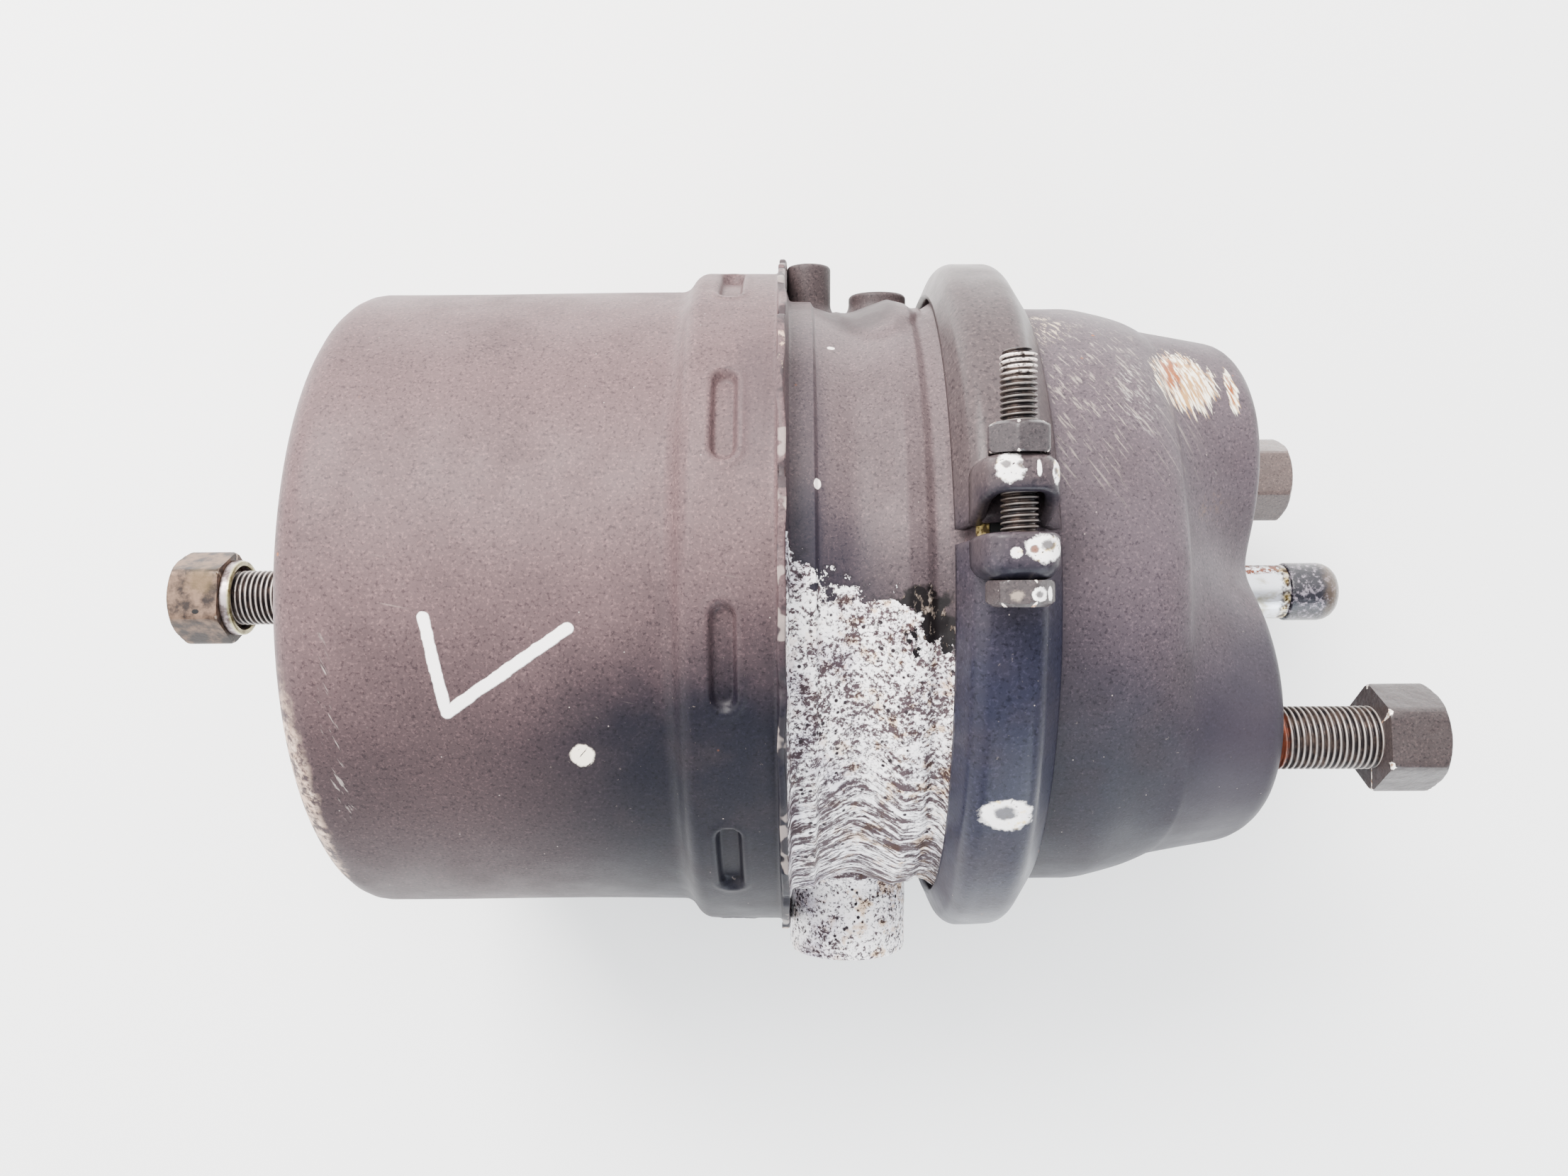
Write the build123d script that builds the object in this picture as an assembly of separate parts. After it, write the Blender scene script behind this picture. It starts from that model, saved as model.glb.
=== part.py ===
from build123d import *
import os
from math import atan2, cos, exp, pi, radians, sin, sqrt

# Spring brake actuator for a disc brake: a diaphragm service chamber and a
# spring chamber back to back, held together by a cast intermediate flange.
#
# Frame: origin at the centre of the mounting face. +X runs along the axis,
# out of the mounting face towards the brake; the body lies in -X. +Z is up
# with the actuator lying on its side. Azimuths turn about +X from +Y to +Z.
# All lengths are in millimetres, all angles in degrees.

# ---------------------------------------------------------------- dimensions

# mounting interface
STUD_SPACING = 120.7          # between the two stud axes
STUD_AZIMUTH = 128.0          # of the first stud; the second is opposite
STUD_R = 8.0                  # M16
STUD_NECK_R = 8.3             # knurled neck pressed into the housing
STUD_HEAD_R = 9.6
STUD_HEAD_HEIGHT = 4.0
STUD_LENGTH = 40.7            # standing out of the face
NUT_AF = 24.0
NUT_HEIGHT = 14.8
THREAD_CORE_R = 7.2           # inside the nuts
NUT_TURN = -4.0               # how the two nuts happen to stand

# service housing, stamped steel
HOUSING_WALL = 3.2
HOUSING_R = 81.5              # straight part of the dome
HOUSING_LIP_R = 89.3          # flange lip under the clamp ring
LIP_BACK_X = -73.1            # lip face on the diaphragm
LIP_FRONT_X = -66.4
LIP_FLARE = (-62.6, 83.2)     # the lip curves out through this point
LIP_ROOT_X = -60.4
DOME_START_X = -44.0          # the straight part ends here
DOME_CREST = (-31.0, 3.2)     # x, and how far below the straight part
DOME_BENDS = (30.0, 9.0, 3.0)
DOME_END_X = -26.0            # shoulder plane that the boss stands on
DOME_SHOULDER_R = 73.0
FACE_R = 70.5                 # boss outline at the mounting face, in the lobes
BOSS_FOOT_R = 75.0            # and at its foot
STUD_EAR = 4.5                # how far the outline swells at each stud
STUD_EAR_SPREAD = 22.0
WAIST_AZIMUTH = 80.0          # the outline is pinched here and opposite
WAIST_SPREAD = 26.0
FACE_WAIST_R = 35.0
FOOT_WAIST_R = 64.0
FACE_EDGE_RADIUS = 7.0
ROD_OPENING_R = 26.0

# clamp ring, a rolled channel with one gap
CLAMP_SHEET = 2.6
CLAMP_R = 93.6
CLAMP_LEFT_X = -82.6
CLAMP_RIGHT_X = -60.8
CLAMP_FOOT_R = 84.2
CLAMP_SHOULDER_X = (-79.0, -66.5)
CLAMP_BEND = 4.5
CLAMP_GAP_Y = 13.5            # middle of the gap
CLAMP_GAP = 3.7
LUG_X = -72.4                 # middle of the lugs and axis of the clamp bolt
LUG_WIDTH = 18.2
LUG_SHEET = 3.2
LUG_WALL = 5.0                # thickness of the closed end
LUG_FOOT_Z = 80.0             # the lugs run down to the channel from here
LUG_TOP_Z = 108.8
LUG_ROUND = 6.6
LUG_END_ROUND = 3.6
CLAMP_BOLT_Z = 102.0
NUT_LUG_Y = (29.3, 21.9, 15.6)     # closed end, rim at its top, rim at its foot
HEAD_LUG_Y = (2.7, 11.8, 11.5)
CLAMP_BOLT_R = 4.0            # M8
CLAMP_BOLT_AF = 13.0
CLAMP_HEAD_HEIGHT = 5.6
CLAMP_NUT_HEIGHT = 6.6
CLAMP_BOLT_END_Y = 51.4
CLAMP_BOLT_HOLE_R = 4.3
CLAMP_THREAD_DEPTH = 0.6
CLAMP_CHAMFER = 0.7

# intermediate flange, aluminium casting
FLANGE_LEFT_X = -142.6
FLANGE_SPIGOT_R = 88.5        # fits inside the spring cylinder's band
FLANGE_LAND_R = 84.0
FLANGE_DISC_R = 89.3          # edge under the clamp ring
FLANGE_FACE_X = -76.5         # face on the diaphragm
FLANGE_EDGE_X = -78.6
BARREL = (                    # outer surface from the rim's land to the clamp ring
    (-115.2, 83.8),
    (-114.4, 82.4),
    (-105.0, 79.2),
    (-97.5, 81.8),
    (-94.0, 83.0),
    (-89.5, 82.2),
    (-87.5, 80.9),
    (-84.6, 81.4),
    (-81.2, 83.6),
)
BARREL_BENDS = (0.3, 1.0, 9.0, 4.0, 2.5, 2.0, 2.0, 3.0, 1.0)
SERVICE_BOWL = (              # inner surface on the diaphragm's side
    (FLANGE_FACE_X, 83.2),
    (-82.0, 76.6),
    (-100.0, 59.0),
)
BOWL_BENDS = (2.0, 6.0, 5.0)
SPRING_BOWL = ((-122.0, 76.0), (FLANGE_LEFT_X, 81.5))
SPRING_BOWL_FLOOR_R = 64.0
SERVICE_BOWL_FLOOR_R = 52.0
WEB_X = (-112.0, -104.0)      # wall between the two chambers
HUB_R = 27.0
HUB_LEFT_X = -133.0
HUB_BORE_R = 20.5
HUB_SEAL_X = (-111.5, -104.0)
HUB_SEAL_R = 23.5
SPIGOT_GROOVE = (-129.6, -125.8)
SPIGOT_GROOVE_DEPTH = 2.4
DIMPLE_GROOVE = (-140.3, -131.5)   # the cylinder's dimples are pressed into it
DIMPLE_GROOVE_DEPTH = 2.9
PORT_BOSS_X = -105.2
PORT_BOSS_R = 16.6
PORT_BOSS_TOP = 103.0         # distance of the port's end face from the axis
PORT_R = 7.25                 # tapping hole of M16 x 1.5
PORT_DEPTH = 15.0
PORT_FOOT = 3.0               # how far a boss's foot flares out
SERVICE_PORT_AZIMUTH = 180.0
SPRING_PORT_AZIMUTH = 228.0
AIR_WAY_R = 2.6
SERVICE_AIR_X = -101.2
SPRING_AIR_X = -109.6
SPRING_AIR_END = (-124.0, 64.0)    # where the slanting drilling comes out
STOP_LUG = (-115.4, 6.4, 95.0)     # x, radius and height of the stop lug
STOP_LUG_FOOT = 5.0
SPARE_BOSS = (-95.8, 8.2, 86.8)    # x, radius and height of the undrilled boss
SPARE_BOSS_FOOT = 5.0
BOSS_ROOT = 72.0              # the bosses start this far from the axis
TOP_BOSS_AZIMUTH = 4.0
LAND_X = -97.0                # oval raised land round the undrilled boss
LAND_SIZE = (12.6, 44.7)      # half its width and half its length
LAND_RISE = 1.6

# spring cylinder, deep drawn steel
CYL_END_X = -240.0
CYL_R = 86.6
CYL_SHEET = 2.8
CYL_CORNER = 8.0
BAND_R = 91.6
BAND_START_X = -147.8
BAND_FULL_X = -144.8
RIM_X = (-123.7, -121.9)
RIM_R = 94.8
RIM_NOTCHES = 12              # pairs of notches
RIM_NOTCH_R = 1.9
RIM_NOTCH_DEPTH = 1.6
RIM_NOTCH_GAP = 5.5           # degrees between the two of a pair
RIM_NOTCH_AZIMUTH = 9.0
RIM_TAB = (4.4, 7.5)          # radial and tangential size of the stop tab
RECESS_R = 24.0               # dished seat for the release nut
RECESS_DEPTH = 18.0
DIMPLES = 10
DIMPLE_AZIMUTH = 26.8
DIMPLE_X = -135.9
DIMPLE_WIDTH = 6.4
DIMPLE_ARC = 15.5             # end to end
DIMPLE_DEPTH = 2.4
DIMPLE_WALL = 0.7             # left round the hollow

# release spindle
SPINDLE_R = 8.0               # M16 x 1.5
SPINDLE_END_X = -299.9
RELEASE_NUT_HEIGHT = 14.4
RELEASE_NUT_TURN = -5.0
PIN_X = -293.4
PIN_R = 1.3
PIN_LENGTH = 21.0
COLLAR_R = 11.0
COLLAR_BORE_R = 9.5
COLLAR_LENGTH = 3.0
SPINDLE_HEAD_R = 12.6
SPINDLE_HEAD_X = (-173.0, -169.0)
BUSH_R = 13.0
BUSH_BORE_R = 8.05
BUSH_LENGTH = 14.0

# spring piston
PISTON_FACE_X = -175.0        # right face of the web, piston held back
PISTON_WEB = 6.0
PISTON_FLAT_R = (56.0, 59.0)  # the web is flat out to here, left and right
PISTON_SKIRT_R = (76.0, 77.5, 79.5)    # inner and outer corners of the skirt
PISTON_BORE_R = 8.6
PISTON_R = 83.3
PISTON_SKIRT_X = (-226.0, -206.0)
TUBE_R = 17.5
TUBE_BORE_R = 13.5
TUBE_END_X = -103.0
NOSE_LENGTH = 3.5
PISTON_GROOVES = ((-223.5, -218.5), (-213.5, -208.5))
PISTON_GROOVE_R = 80.2
RING_CLEARANCE = 0.15         # between the piston's rings and the cylinder
GUIDE_RING_CUT = 2.0
POWER_WIRE = 12.0
POWER_COILS = 4.5
POWER_R = (70.0, 33.0)        # mean coil radius at the two ends

# service side
DIAPHRAGM = 3.2
DIAPHRAGM_BEND_R = 79.4       # turns down into the bowl here
DIAPHRAGM_CONE = (-97.3, 57.0)
DIAPHRAGM_FLAT_R = 49.0
PLATE_X = (-98.2, -94.4)
PLATE_R = 50.0
PLATE_LIP = 2.5
PLATE_LIP_SHEET = 2.2
PLATE_HUB_R = (14.0, 12.0)    # the rod's collar on the plate, at its foot and end
PLATE_HUB_HEIGHT = 6.0
ROD_SEAT = 1.0                # how deep the rod sits in the plate
ROD_R = 7.8
ROD_CAP_X = 22.5
ROD_CAP_R = 8.4
ROD_TIP_X = 37.7
ROD_DOME_R = 5.2
RETURN_WIRE = 4.4
RETURN_COILS = 5.5
RETURN_R = (44.0, 28.0)
BOOT_FOLDS = 4
BOOT_PITCH = 7.0
BOOT_R = (22.0, 13.0)
BOOT_WALL = 1.4
BOOT_CUFF_R = 24.4            # in the opening
BOOT_CUFF_X = (-6.5, -1.0)
BOOT_NECK_R = 8.8             # on the rod
BOOT_NECK_LENGTH = 6.0
BOOT_BEND = 0.7
RETAINER_X = (-6.0, -0.8)
RETAINER_R = (23.5, 22.3)
SEAT_GAP = 0.3                # coil springs stop this far short of their seats


# ------------------------------------------------------------------- helpers

def ring(points, radii=0.0):
    """Turn a closed outline of (x, radius) points about the X axis.

    radii rounds every corner alike, or is a list with one radius for each.
    """
    if radii:
        outline = FilletPolyline(*points, radius=radii, close=True)
    else:
        outline = Polyline(*points, close=True)
    return revolve(make_face(outline), Axis.X)


def sheet(points, radii, thickness):
    """Turn a bent sheet about the X axis; points are the middle of its wall."""
    path = FilletPolyline(*points, radius=radii)
    return revolve(trace(path, thickness), Axis.X)


def tube(x0, x1, outer, inner=0.0):
    """A round bar or tube on the X axis."""
    bar = Plane.YZ.offset(x0) * extrude(Circle(outer), x1 - x0)
    if inner:
        bar -= Plane.YZ.offset(x0) * extrude(Circle(inner), x1 - x0)
    return bar


def hexagon(across_flats, height, hole=0.0, chamfered=1.2):
    """A hexagon nut or head standing on the XY plane, its far end chamfered."""
    corner = across_flats / sqrt(3)
    blank = extrude(RegularPolygon(corner, 6), height)
    chamfer_cone = revolve(
        make_face(Polyline(
            (0, 0),
            (corner + 1, 0),
            (corner + 1, height - chamfered),
            (corner - 1.9 * chamfered, height),
            (0, height),
            close=True,
        ).moved(Location((0, 0, 0), (90, 0, 0)))),
        Axis.Z,
    )
    nut = blank & chamfer_cone
    if hole:
        nut -= extrude(Circle(hole), height)
    return nut


def turned(shape, azimuth):
    """Carry a shape made at azimuth 0 (+Y) round the X axis."""
    return Rot(X=azimuth) * shape


def radial_bar(x, radius, start, end):
    """A round bar pointing along +Y, from one distance off the axis to another."""
    return Plane((x, start, 0), z_dir=(0, 1, 0)) * extrude(Circle(radius), end - start)


def swell(azimuth, centre, spread):
    """A smooth bump of height 1 at centre and at the azimuth opposite it."""
    off = (azimuth - centre + 90) % 180 - 90
    return exp(-((off / spread) ** 2))


def boss_outline(lobe_r, waist_r, x):
    """The mounting boss's outline: two lobes pinched at the waist, with an ear at each stud."""
    points = []
    for step in range(36):
        azimuth = step * 10.0
        radius = lobe_r + STUD_EAR * swell(azimuth, STUD_AZIMUTH, STUD_EAR_SPREAD)
        radius -= (lobe_r - waist_r) * swell(azimuth, WAIST_AZIMUTH, WAIST_SPREAD)
        points.append((x, radius * cos(radians(azimuth)), radius * sin(radians(azimuth))))
    return Face(Wire([Spline(*points, periodic=True)]))


def coil(x0, x1, radius0, radius1, turns, wire):
    """A conical coil spring between two seats at x0 and x1."""
    height = x1 - x0 - wire
    angle = -degrees_of(radius0 - radius1, height)
    path = Helix(
        pitch=height / turns,
        height=height,
        radius=radius0,
        center=(x0 + wire / 2, 0, 0),
        direction=(1, 0, 0),
        cone_angle=angle,
    )
    section = Plane(origin=path @ 0, z_dir=path % 0) * Circle(wire / 2)
    return sweep(section, path=path)


def degrees_of(opposite, adjacent):
    """The angle whose tangent is opposite over adjacent."""
    return atan2(opposite, adjacent) * 180 / pi


# ------------------------------------------------------------ spring chamber

def spring_cylinder():
    """Deep-drawn shell: dished end, straight wall, wider band and flared rim."""
    mid = CYL_SHEET / 2
    recess_x = CYL_END_X + RECESS_DEPTH + mid
    shell = sheet(
        [
            (recess_x, BUSH_R),
            (recess_x, RECESS_R - mid),
            (CYL_END_X + mid, RECESS_R + mid),
            (CYL_END_X + mid, CYL_R - mid),
            (BAND_START_X, CYL_R - mid),
            (BAND_FULL_X, BAND_R - mid),
            (RIM_X[0] + 0.2, BAND_R - mid),
        ],
        [4.0, 4.0, CYL_CORNER - mid, 6.0, 3.5],
        CYL_SHEET,
    )
    rim = tube(*RIM_X, RIM_R, BAND_R - CYL_SHEET)
    notch = radial_bar(RIM_X[1] + 1.0, RIM_NOTCH_R, RIM_R - RIM_NOTCH_DEPTH, RIM_R + 2)
    for number in range(RIM_NOTCHES):
        start = number * 360 / RIM_NOTCHES + RIM_NOTCH_AZIMUTH
        for offset in (0, RIM_NOTCH_GAP):
            rim -= turned(notch, start + offset)
    shell += rim
    tab = Pos((RIM_X[0] + RIM_X[1]) / 2, RIM_R + 0.4, 0) * Box(RIM_X[1] - RIM_X[0], *RIM_TAB)
    shell += turned(tab, TOP_BOSS_AZIMUTH)
    return dimpled(shell)


def dimple_slot(width, arc, inner, outer):
    """A round-ended slot that follows the band, between two radii, at azimuth 0."""
    half = arc / 2 - width / 2 * 180 / (pi * BAND_R)
    sector = revolve(
        make_face(Polyline(
            (DIMPLE_X - width / 2, inner),
            (DIMPLE_X + width / 2, inner),
            (DIMPLE_X + width / 2, outer),
            (DIMPLE_X - width / 2, outer),
            close=True,
        )),
        Axis.X,
        revolution_arc=2 * half,
    )
    slot = turned(sector, -half)
    for end in (-half, half):
        slot += turned(radial_bar(DIMPLE_X, width / 2, inner, outer), end)
    return slot


def dimpled(shell):
    """Press the oval dimples into the band, each with its bulge on the inside."""
    wall_in = BAND_R - CYL_SHEET
    bulge = dimple_slot(
        DIMPLE_WIDTH, DIMPLE_ARC, wall_in - DIMPLE_DEPTH, wall_in + 0.6
    )
    hollow = dimple_slot(
        DIMPLE_WIDTH - 2 * DIMPLE_WALL,
        DIMPLE_ARC - degrees_of(2 * DIMPLE_WALL, BAND_R),
        BAND_R - DIMPLE_DEPTH,
        BAND_R + 2,
    )
    for number in range(DIMPLES):
        azimuth = DIMPLE_AZIMUTH + number * 360 / DIMPLES
        shell += turned(bulge, azimuth)
        shell -= turned(hollow, azimuth)
    return shell


def release_bush():
    """Threaded insert welded into the dished end, carrying the release spindle."""
    inner_face = CYL_END_X + RECESS_DEPTH + CYL_SHEET
    return tube(inner_face - CYL_SHEET, inner_face - CYL_SHEET + BUSH_LENGTH, BUSH_R, BUSH_BORE_R)


def release_spindle():
    """Threaded rod with the inner head that draws the piston back."""
    rod = tube(SPINDLE_END_X, SPINDLE_HEAD_X[0], SPINDLE_R)
    rod -= tube(SPINDLE_END_X, SPINDLE_END_X + RELEASE_NUT_HEIGHT, SPINDLE_R, THREAD_CORE_R)
    rod += tube(*SPINDLE_HEAD_X, SPINDLE_HEAD_R)
    rod -= pin_hole()
    return rod


def pin_hole():
    """The cross hole for the pin that locks the release nut on its spindle."""
    return Plane((PIN_X, 0, -PIN_LENGTH), z_dir=(0, 0, 1)) * extrude(Circle(PIN_R), 2 * PIN_LENGTH)


def release_nut():
    """Hexagon that turns the spindle, pinned to it."""
    nut = Plane((SPINDLE_END_X + RELEASE_NUT_HEIGHT, 0, 0), z_dir=(-1, 0, 0)) * hexagon(
        NUT_AF, RELEASE_NUT_HEIGHT, THREAD_CORE_R
    )
    return Rot(X=RELEASE_NUT_TURN) * nut - pin_hole()


def release_pin():
    """Spring pin through the release nut and the spindle."""
    return Plane((PIN_X, 0, -PIN_LENGTH / 2), z_dir=(0, 0, 1)) * extrude(Circle(PIN_R), PIN_LENGTH)


def release_collar():
    """Loose ring behind the release nut; it seats in the dished end."""
    start = SPINDLE_END_X + RELEASE_NUT_HEIGHT
    return tube(start, start + COLLAR_LENGTH, COLLAR_R, COLLAR_BORE_R)


def thrust_washer():
    """Hard washer between the spindle's head and the piston's web."""
    return tube(PISTON_FACE_X, SPINDLE_HEAD_X[0], SPINDLE_HEAD_R - 0.4, SPINDLE_R + 0.3)


def power_spring():
    """Conical parking spring, compressed between the cylinder's end and the piston."""
    return coil(
        CYL_END_X + CYL_SHEET + SEAT_GAP,
        PISTON_FACE_X - PISTON_WEB - SEAT_GAP,
        *POWER_R,
        POWER_COILS,
        POWER_WIRE,
    )


def spring_piston():
    """Dished piston: flat web, cone and a grooved skirt."""
    left, right = PISTON_SKIRT_X
    corner_r, mouth_r, foot_r = PISTON_SKIRT_R
    web_left = PISTON_FACE_X - PISTON_WEB
    body = ring(
        [
            (web_left, PISTON_BORE_R),
            (web_left, PISTON_FLAT_R[0]),
            (right - 4.0, corner_r),
            (left, mouth_r),
            (left, PISTON_R),
            (right, PISTON_R),
            (right, foot_r),
            (PISTON_FACE_X, PISTON_FLAT_R[1]),
            (PISTON_FACE_X, PISTON_BORE_R),
        ],
        [0, 3.0, 4.0, 0, 1.0, 1.0, 2.0, 4.0, 0],
    )
    for groove in PISTON_GROOVES:
        body -= tube(*groove, PISTON_R + 1, PISTON_GROOVE_R)
    return body


def piston_seal():
    """Rubber ring that seals the piston on the cylinder."""
    return tube(*PISTON_GROOVES[1], CYL_R - CYL_SHEET - RING_CLEARANCE, PISTON_GROOVE_R)


def piston_guide_ring():
    """Split plastic band that guides the skirt."""
    band = tube(*PISTON_GROOVES[0], CYL_R - CYL_SHEET - RING_CLEARANCE, PISTON_GROOVE_R)
    cut = Pos(PISTON_SKIRT_X[0], CYL_R, 0) * Box(20, 14, GUIDE_RING_CUT)
    return band - turned(cut, SPRING_PORT_AZIMUTH)


def piston_tube():
    """Hollow rod of the spring piston, through the hub into the service chamber."""
    return tube(PISTON_FACE_X, TUBE_END_X - NOSE_LENGTH, TUBE_R, TUBE_BORE_R)


def tube_nose():
    """Domed plug that closes the tube and pushes on the diaphragm."""
    return ring(
        [
            (TUBE_END_X - NOSE_LENGTH, 0),
            (TUBE_END_X - NOSE_LENGTH, TUBE_R),
            (TUBE_END_X, TUBE_R),
            (TUBE_END_X, 0),
        ],
        [0, 0, 2.0, 0],
    )


# -------------------------------------------------------- intermediate flange

def flange_body():
    """The casting turned from its section: spigot, barrel, disc, web and hub."""
    web_left, web_right = WEB_X
    return ring(
        [
            (FLANGE_LEFT_X, FLANGE_SPIGOT_R),
            (RIM_X[1] - 0.3, FLANGE_SPIGOT_R),
            (RIM_X[1] + 0.9, FLANGE_LAND_R),
            *BARREL,
            (FLANGE_EDGE_X, FLANGE_DISC_R),
            (FLANGE_FACE_X, FLANGE_DISC_R),
            *SERVICE_BOWL,
            (web_right, SERVICE_BOWL_FLOOR_R),
            (web_right, HUB_R),
            (web_right, HUB_BORE_R),
            (HUB_LEFT_X, HUB_BORE_R),
            (HUB_LEFT_X, HUB_R),
            (web_left, HUB_R),
            (web_left, SPRING_BOWL_FLOOR_R),
            *SPRING_BOWL,
        ],
        [
            1.0, 0.3, 1.0,
            *BARREL_BENDS,
            0.6, 0.4,
            *BOWL_BENDS,
            4.0, 0, 0, 1.0, 1.5, 4.0, 5.0,
            6.0, 0.5,
        ],
    )


def intermediate_flange():
    """Aluminium casting between the chambers, with its hub, ports and bosses."""
    body = flange_body() + turned(raised_land(), TOP_BOSS_AZIMUTH)
    body += turned(boss(*STOP_LUG, STOP_LUG_FOOT), TOP_BOSS_AZIMUTH)
    body += turned(boss(*SPARE_BOSS, SPARE_BOSS_FOOT), TOP_BOSS_AZIMUTH)
    tapping = radial_bar(PORT_BOSS_X, PORT_R, PORT_BOSS_TOP - PORT_DEPTH, PORT_BOSS_TOP + 1)
    for azimuth in (SERVICE_PORT_AZIMUTH, SPRING_PORT_AZIMUTH):
        body += turned(boss(PORT_BOSS_X, PORT_BOSS_R, PORT_BOSS_TOP, PORT_FOOT), azimuth)
        body -= turned(tapping, azimuth)
    port_floor = PORT_BOSS_TOP - PORT_DEPTH + 1
    body -= turned(radial_bar(SERVICE_AIR_X, AIR_WAY_R, 50, port_floor), SERVICE_PORT_AZIMUTH)
    body -= turned(slanting_air_way(port_floor), SPRING_PORT_AZIMUTH)
    for span, radius, depth in (
        (DIMPLE_GROOVE, FLANGE_SPIGOT_R, DIMPLE_GROOVE_DEPTH),
        (SPIGOT_GROOVE, FLANGE_SPIGOT_R, SPIGOT_GROOVE_DEPTH),
    ):
        body -= tube(*span, radius + 1, radius - depth)
    return body - tube(*HUB_SEAL_X, HUB_SEAL_R, 1.0)


def raised_land():
    """The oval land round the undrilled boss: it follows the barrel, a little higher."""
    outline = [(x, radius + LAND_RISE) for x, radius in BARREL[1:8]]
    layer = ring([(outline[0][0], BOSS_ROOT), *outline, (outline[-1][0], BOSS_ROOT)])
    oval = Plane((LAND_X, 40, 0), x_dir=(1, 0, 0), z_dir=(0, 1, 0)) * extrude(
        Ellipse(*LAND_SIZE), 60
    )
    return layer & oval


def slanting_air_way(port_floor):
    """Two drillings from the spring port's floor into the spring chamber."""
    start = Vector(SPRING_AIR_X, BOSS_ROOT, 0)
    end = Vector(*SPRING_AIR_END, 0)
    slant = Plane(origin=start, z_dir=end - start) * extrude(
        Circle(AIR_WAY_R), (end - start).length
    )
    return slant + radial_bar(SPRING_AIR_X, AIR_WAY_R, 66, port_floor)


def boss(x, radius, top, foot):
    """A cast boss along +Y with a flared foot, sunk in the casting's barrel."""
    column = radial_bar(x, radius, BOSS_ROOT, top)
    column = fillet(column.edges().group_by(Axis.Y)[-1], 1.0)
    flare = Plane((x, 78.0, 0), z_dir=(0, 1, 0)) * Cone(
        radius + foot, radius, foot * 1.2, align=(Align.CENTER, Align.CENTER, Align.MIN)
    )
    return column + flare


def spigot_seal():
    """O-ring between the casting's spigot and the spring cylinder."""
    bottom = FLANGE_SPIGOT_R - SPIGOT_GROOVE_DEPTH
    return tube(*SPIGOT_GROOVE, BAND_R - CYL_SHEET - 0.05, bottom)


def guide_bush():
    """Plain bearing in the hub for the piston's tube."""
    return tube(HUB_LEFT_X + 1.5, HUB_SEAL_X[0], HUB_BORE_R, TUBE_R + 0.06)


def tube_seal():
    """Grooved rubber ring that seals the tube in the hub."""
    body = tube(HUB_SEAL_X[0], HUB_SEAL_X[1] - 1.8, HUB_SEAL_R, TUBE_R + 0.15)
    lip = ring(
        [
            (HUB_SEAL_X[0] - 1, HUB_SEAL_R - 1.2),
            (HUB_SEAL_X[0] + 3.4, TUBE_R + 1.8),
            (HUB_SEAL_X[0] - 1, TUBE_R + 1.0),
        ]
    )
    return body - lip


def seal_retainer():
    """Snap ring that keeps the seal in the hub."""
    snap = tube(HUB_SEAL_X[1] - 1.8, HUB_SEAL_X[1], HUB_SEAL_R, TUBE_R + 1.2)
    return snap - turned(Pos(WEB_X[1], HUB_SEAL_R, 0) * Box(12, 9, 7), 90)


# ------------------------------------------------------------ service chamber

def diaphragm():
    """Rubber cup clamped by its thick edge between the casting and the housing."""
    middle = (FLANGE_FACE_X + LIP_BACK_X) / 2
    cup = sheet(
        [
            (middle, HOUSING_LIP_R - 0.4),
            (middle, DIAPHRAGM_BEND_R),
            DIAPHRAGM_CONE,
            (TUBE_END_X + 2.1, DIAPHRAGM_FLAT_R),
            (TUBE_END_X + 2.1, 0.0),
        ],
        [4.0, 8.0, 6.0],
        DIAPHRAGM,
    )
    return cup


def boss_solid(inset, x_face):
    """The mounting boss as a loft from its foot to its face, inset all round."""
    foot = boss_outline(BOSS_FOOT_R - inset, FOOT_WAIST_R - inset, DOME_END_X - inset)
    face = boss_outline(FACE_R - inset, FACE_WAIST_R - inset, x_face)
    return loft([foot, face])


def dome_solid(inset, lip):
    """The housing's round part filled solid, inset all round; lip adds the flange."""
    radius = HOUSING_R - inset
    end_x = DOME_END_X - inset
    start = [(LIP_BACK_X, 0), (LIP_BACK_X, radius)]
    if lip:
        start = [
            (LIP_BACK_X, 0),
            (LIP_BACK_X, HOUSING_LIP_R),
            (LIP_FRONT_X, HOUSING_LIP_R),
            LIP_FLARE,
            (LIP_ROOT_X, radius),
        ]
    profile = start + [
        (DOME_START_X, radius),
        (DOME_CREST[0], radius - DOME_CREST[1]),
        (end_x, DOME_SHOULDER_R - inset),
        (end_x, 0),
    ]
    radii = [0] * len(start) + [*DOME_BENDS, 0]
    if lip:
        radii[2] = 1.0
        radii[4] = 2.0
    return ring(profile, radii)


def service_housing():
    """Pressed steel dome with the two-lobed mounting boss."""
    outer_boss = boss_solid(0.0, 0.0)
    outer_boss = fillet(outer_boss.edges().group_by(Axis.X)[-1], FACE_EDGE_RADIUS)
    outer = dome_solid(0.0, True) + outer_boss
    inner = dome_solid(HOUSING_WALL, False) + boss_solid(HOUSING_WALL, -HOUSING_WALL)
    housing = outer - inner
    housing -= tube(-10, 5, ROD_OPENING_R)
    for azimuth in (STUD_AZIMUTH, STUD_AZIMUTH + 180):
        housing -= turned(
            Pos(-5, STUD_SPACING / 2, 0) * Rot(Y=90) * Cylinder(STUD_NECK_R, 20), azimuth
        )
    return housing


def at_studs(shape):
    """Place a shape made round the X axis at both studs, as separate solids."""
    placed = [
        turned(Pos(0, STUD_SPACING / 2, 0) * shape, azimuth)
        for azimuth in (STUD_AZIMUTH, STUD_AZIMUTH + 180)
    ]
    return Compound(children=placed)


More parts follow.
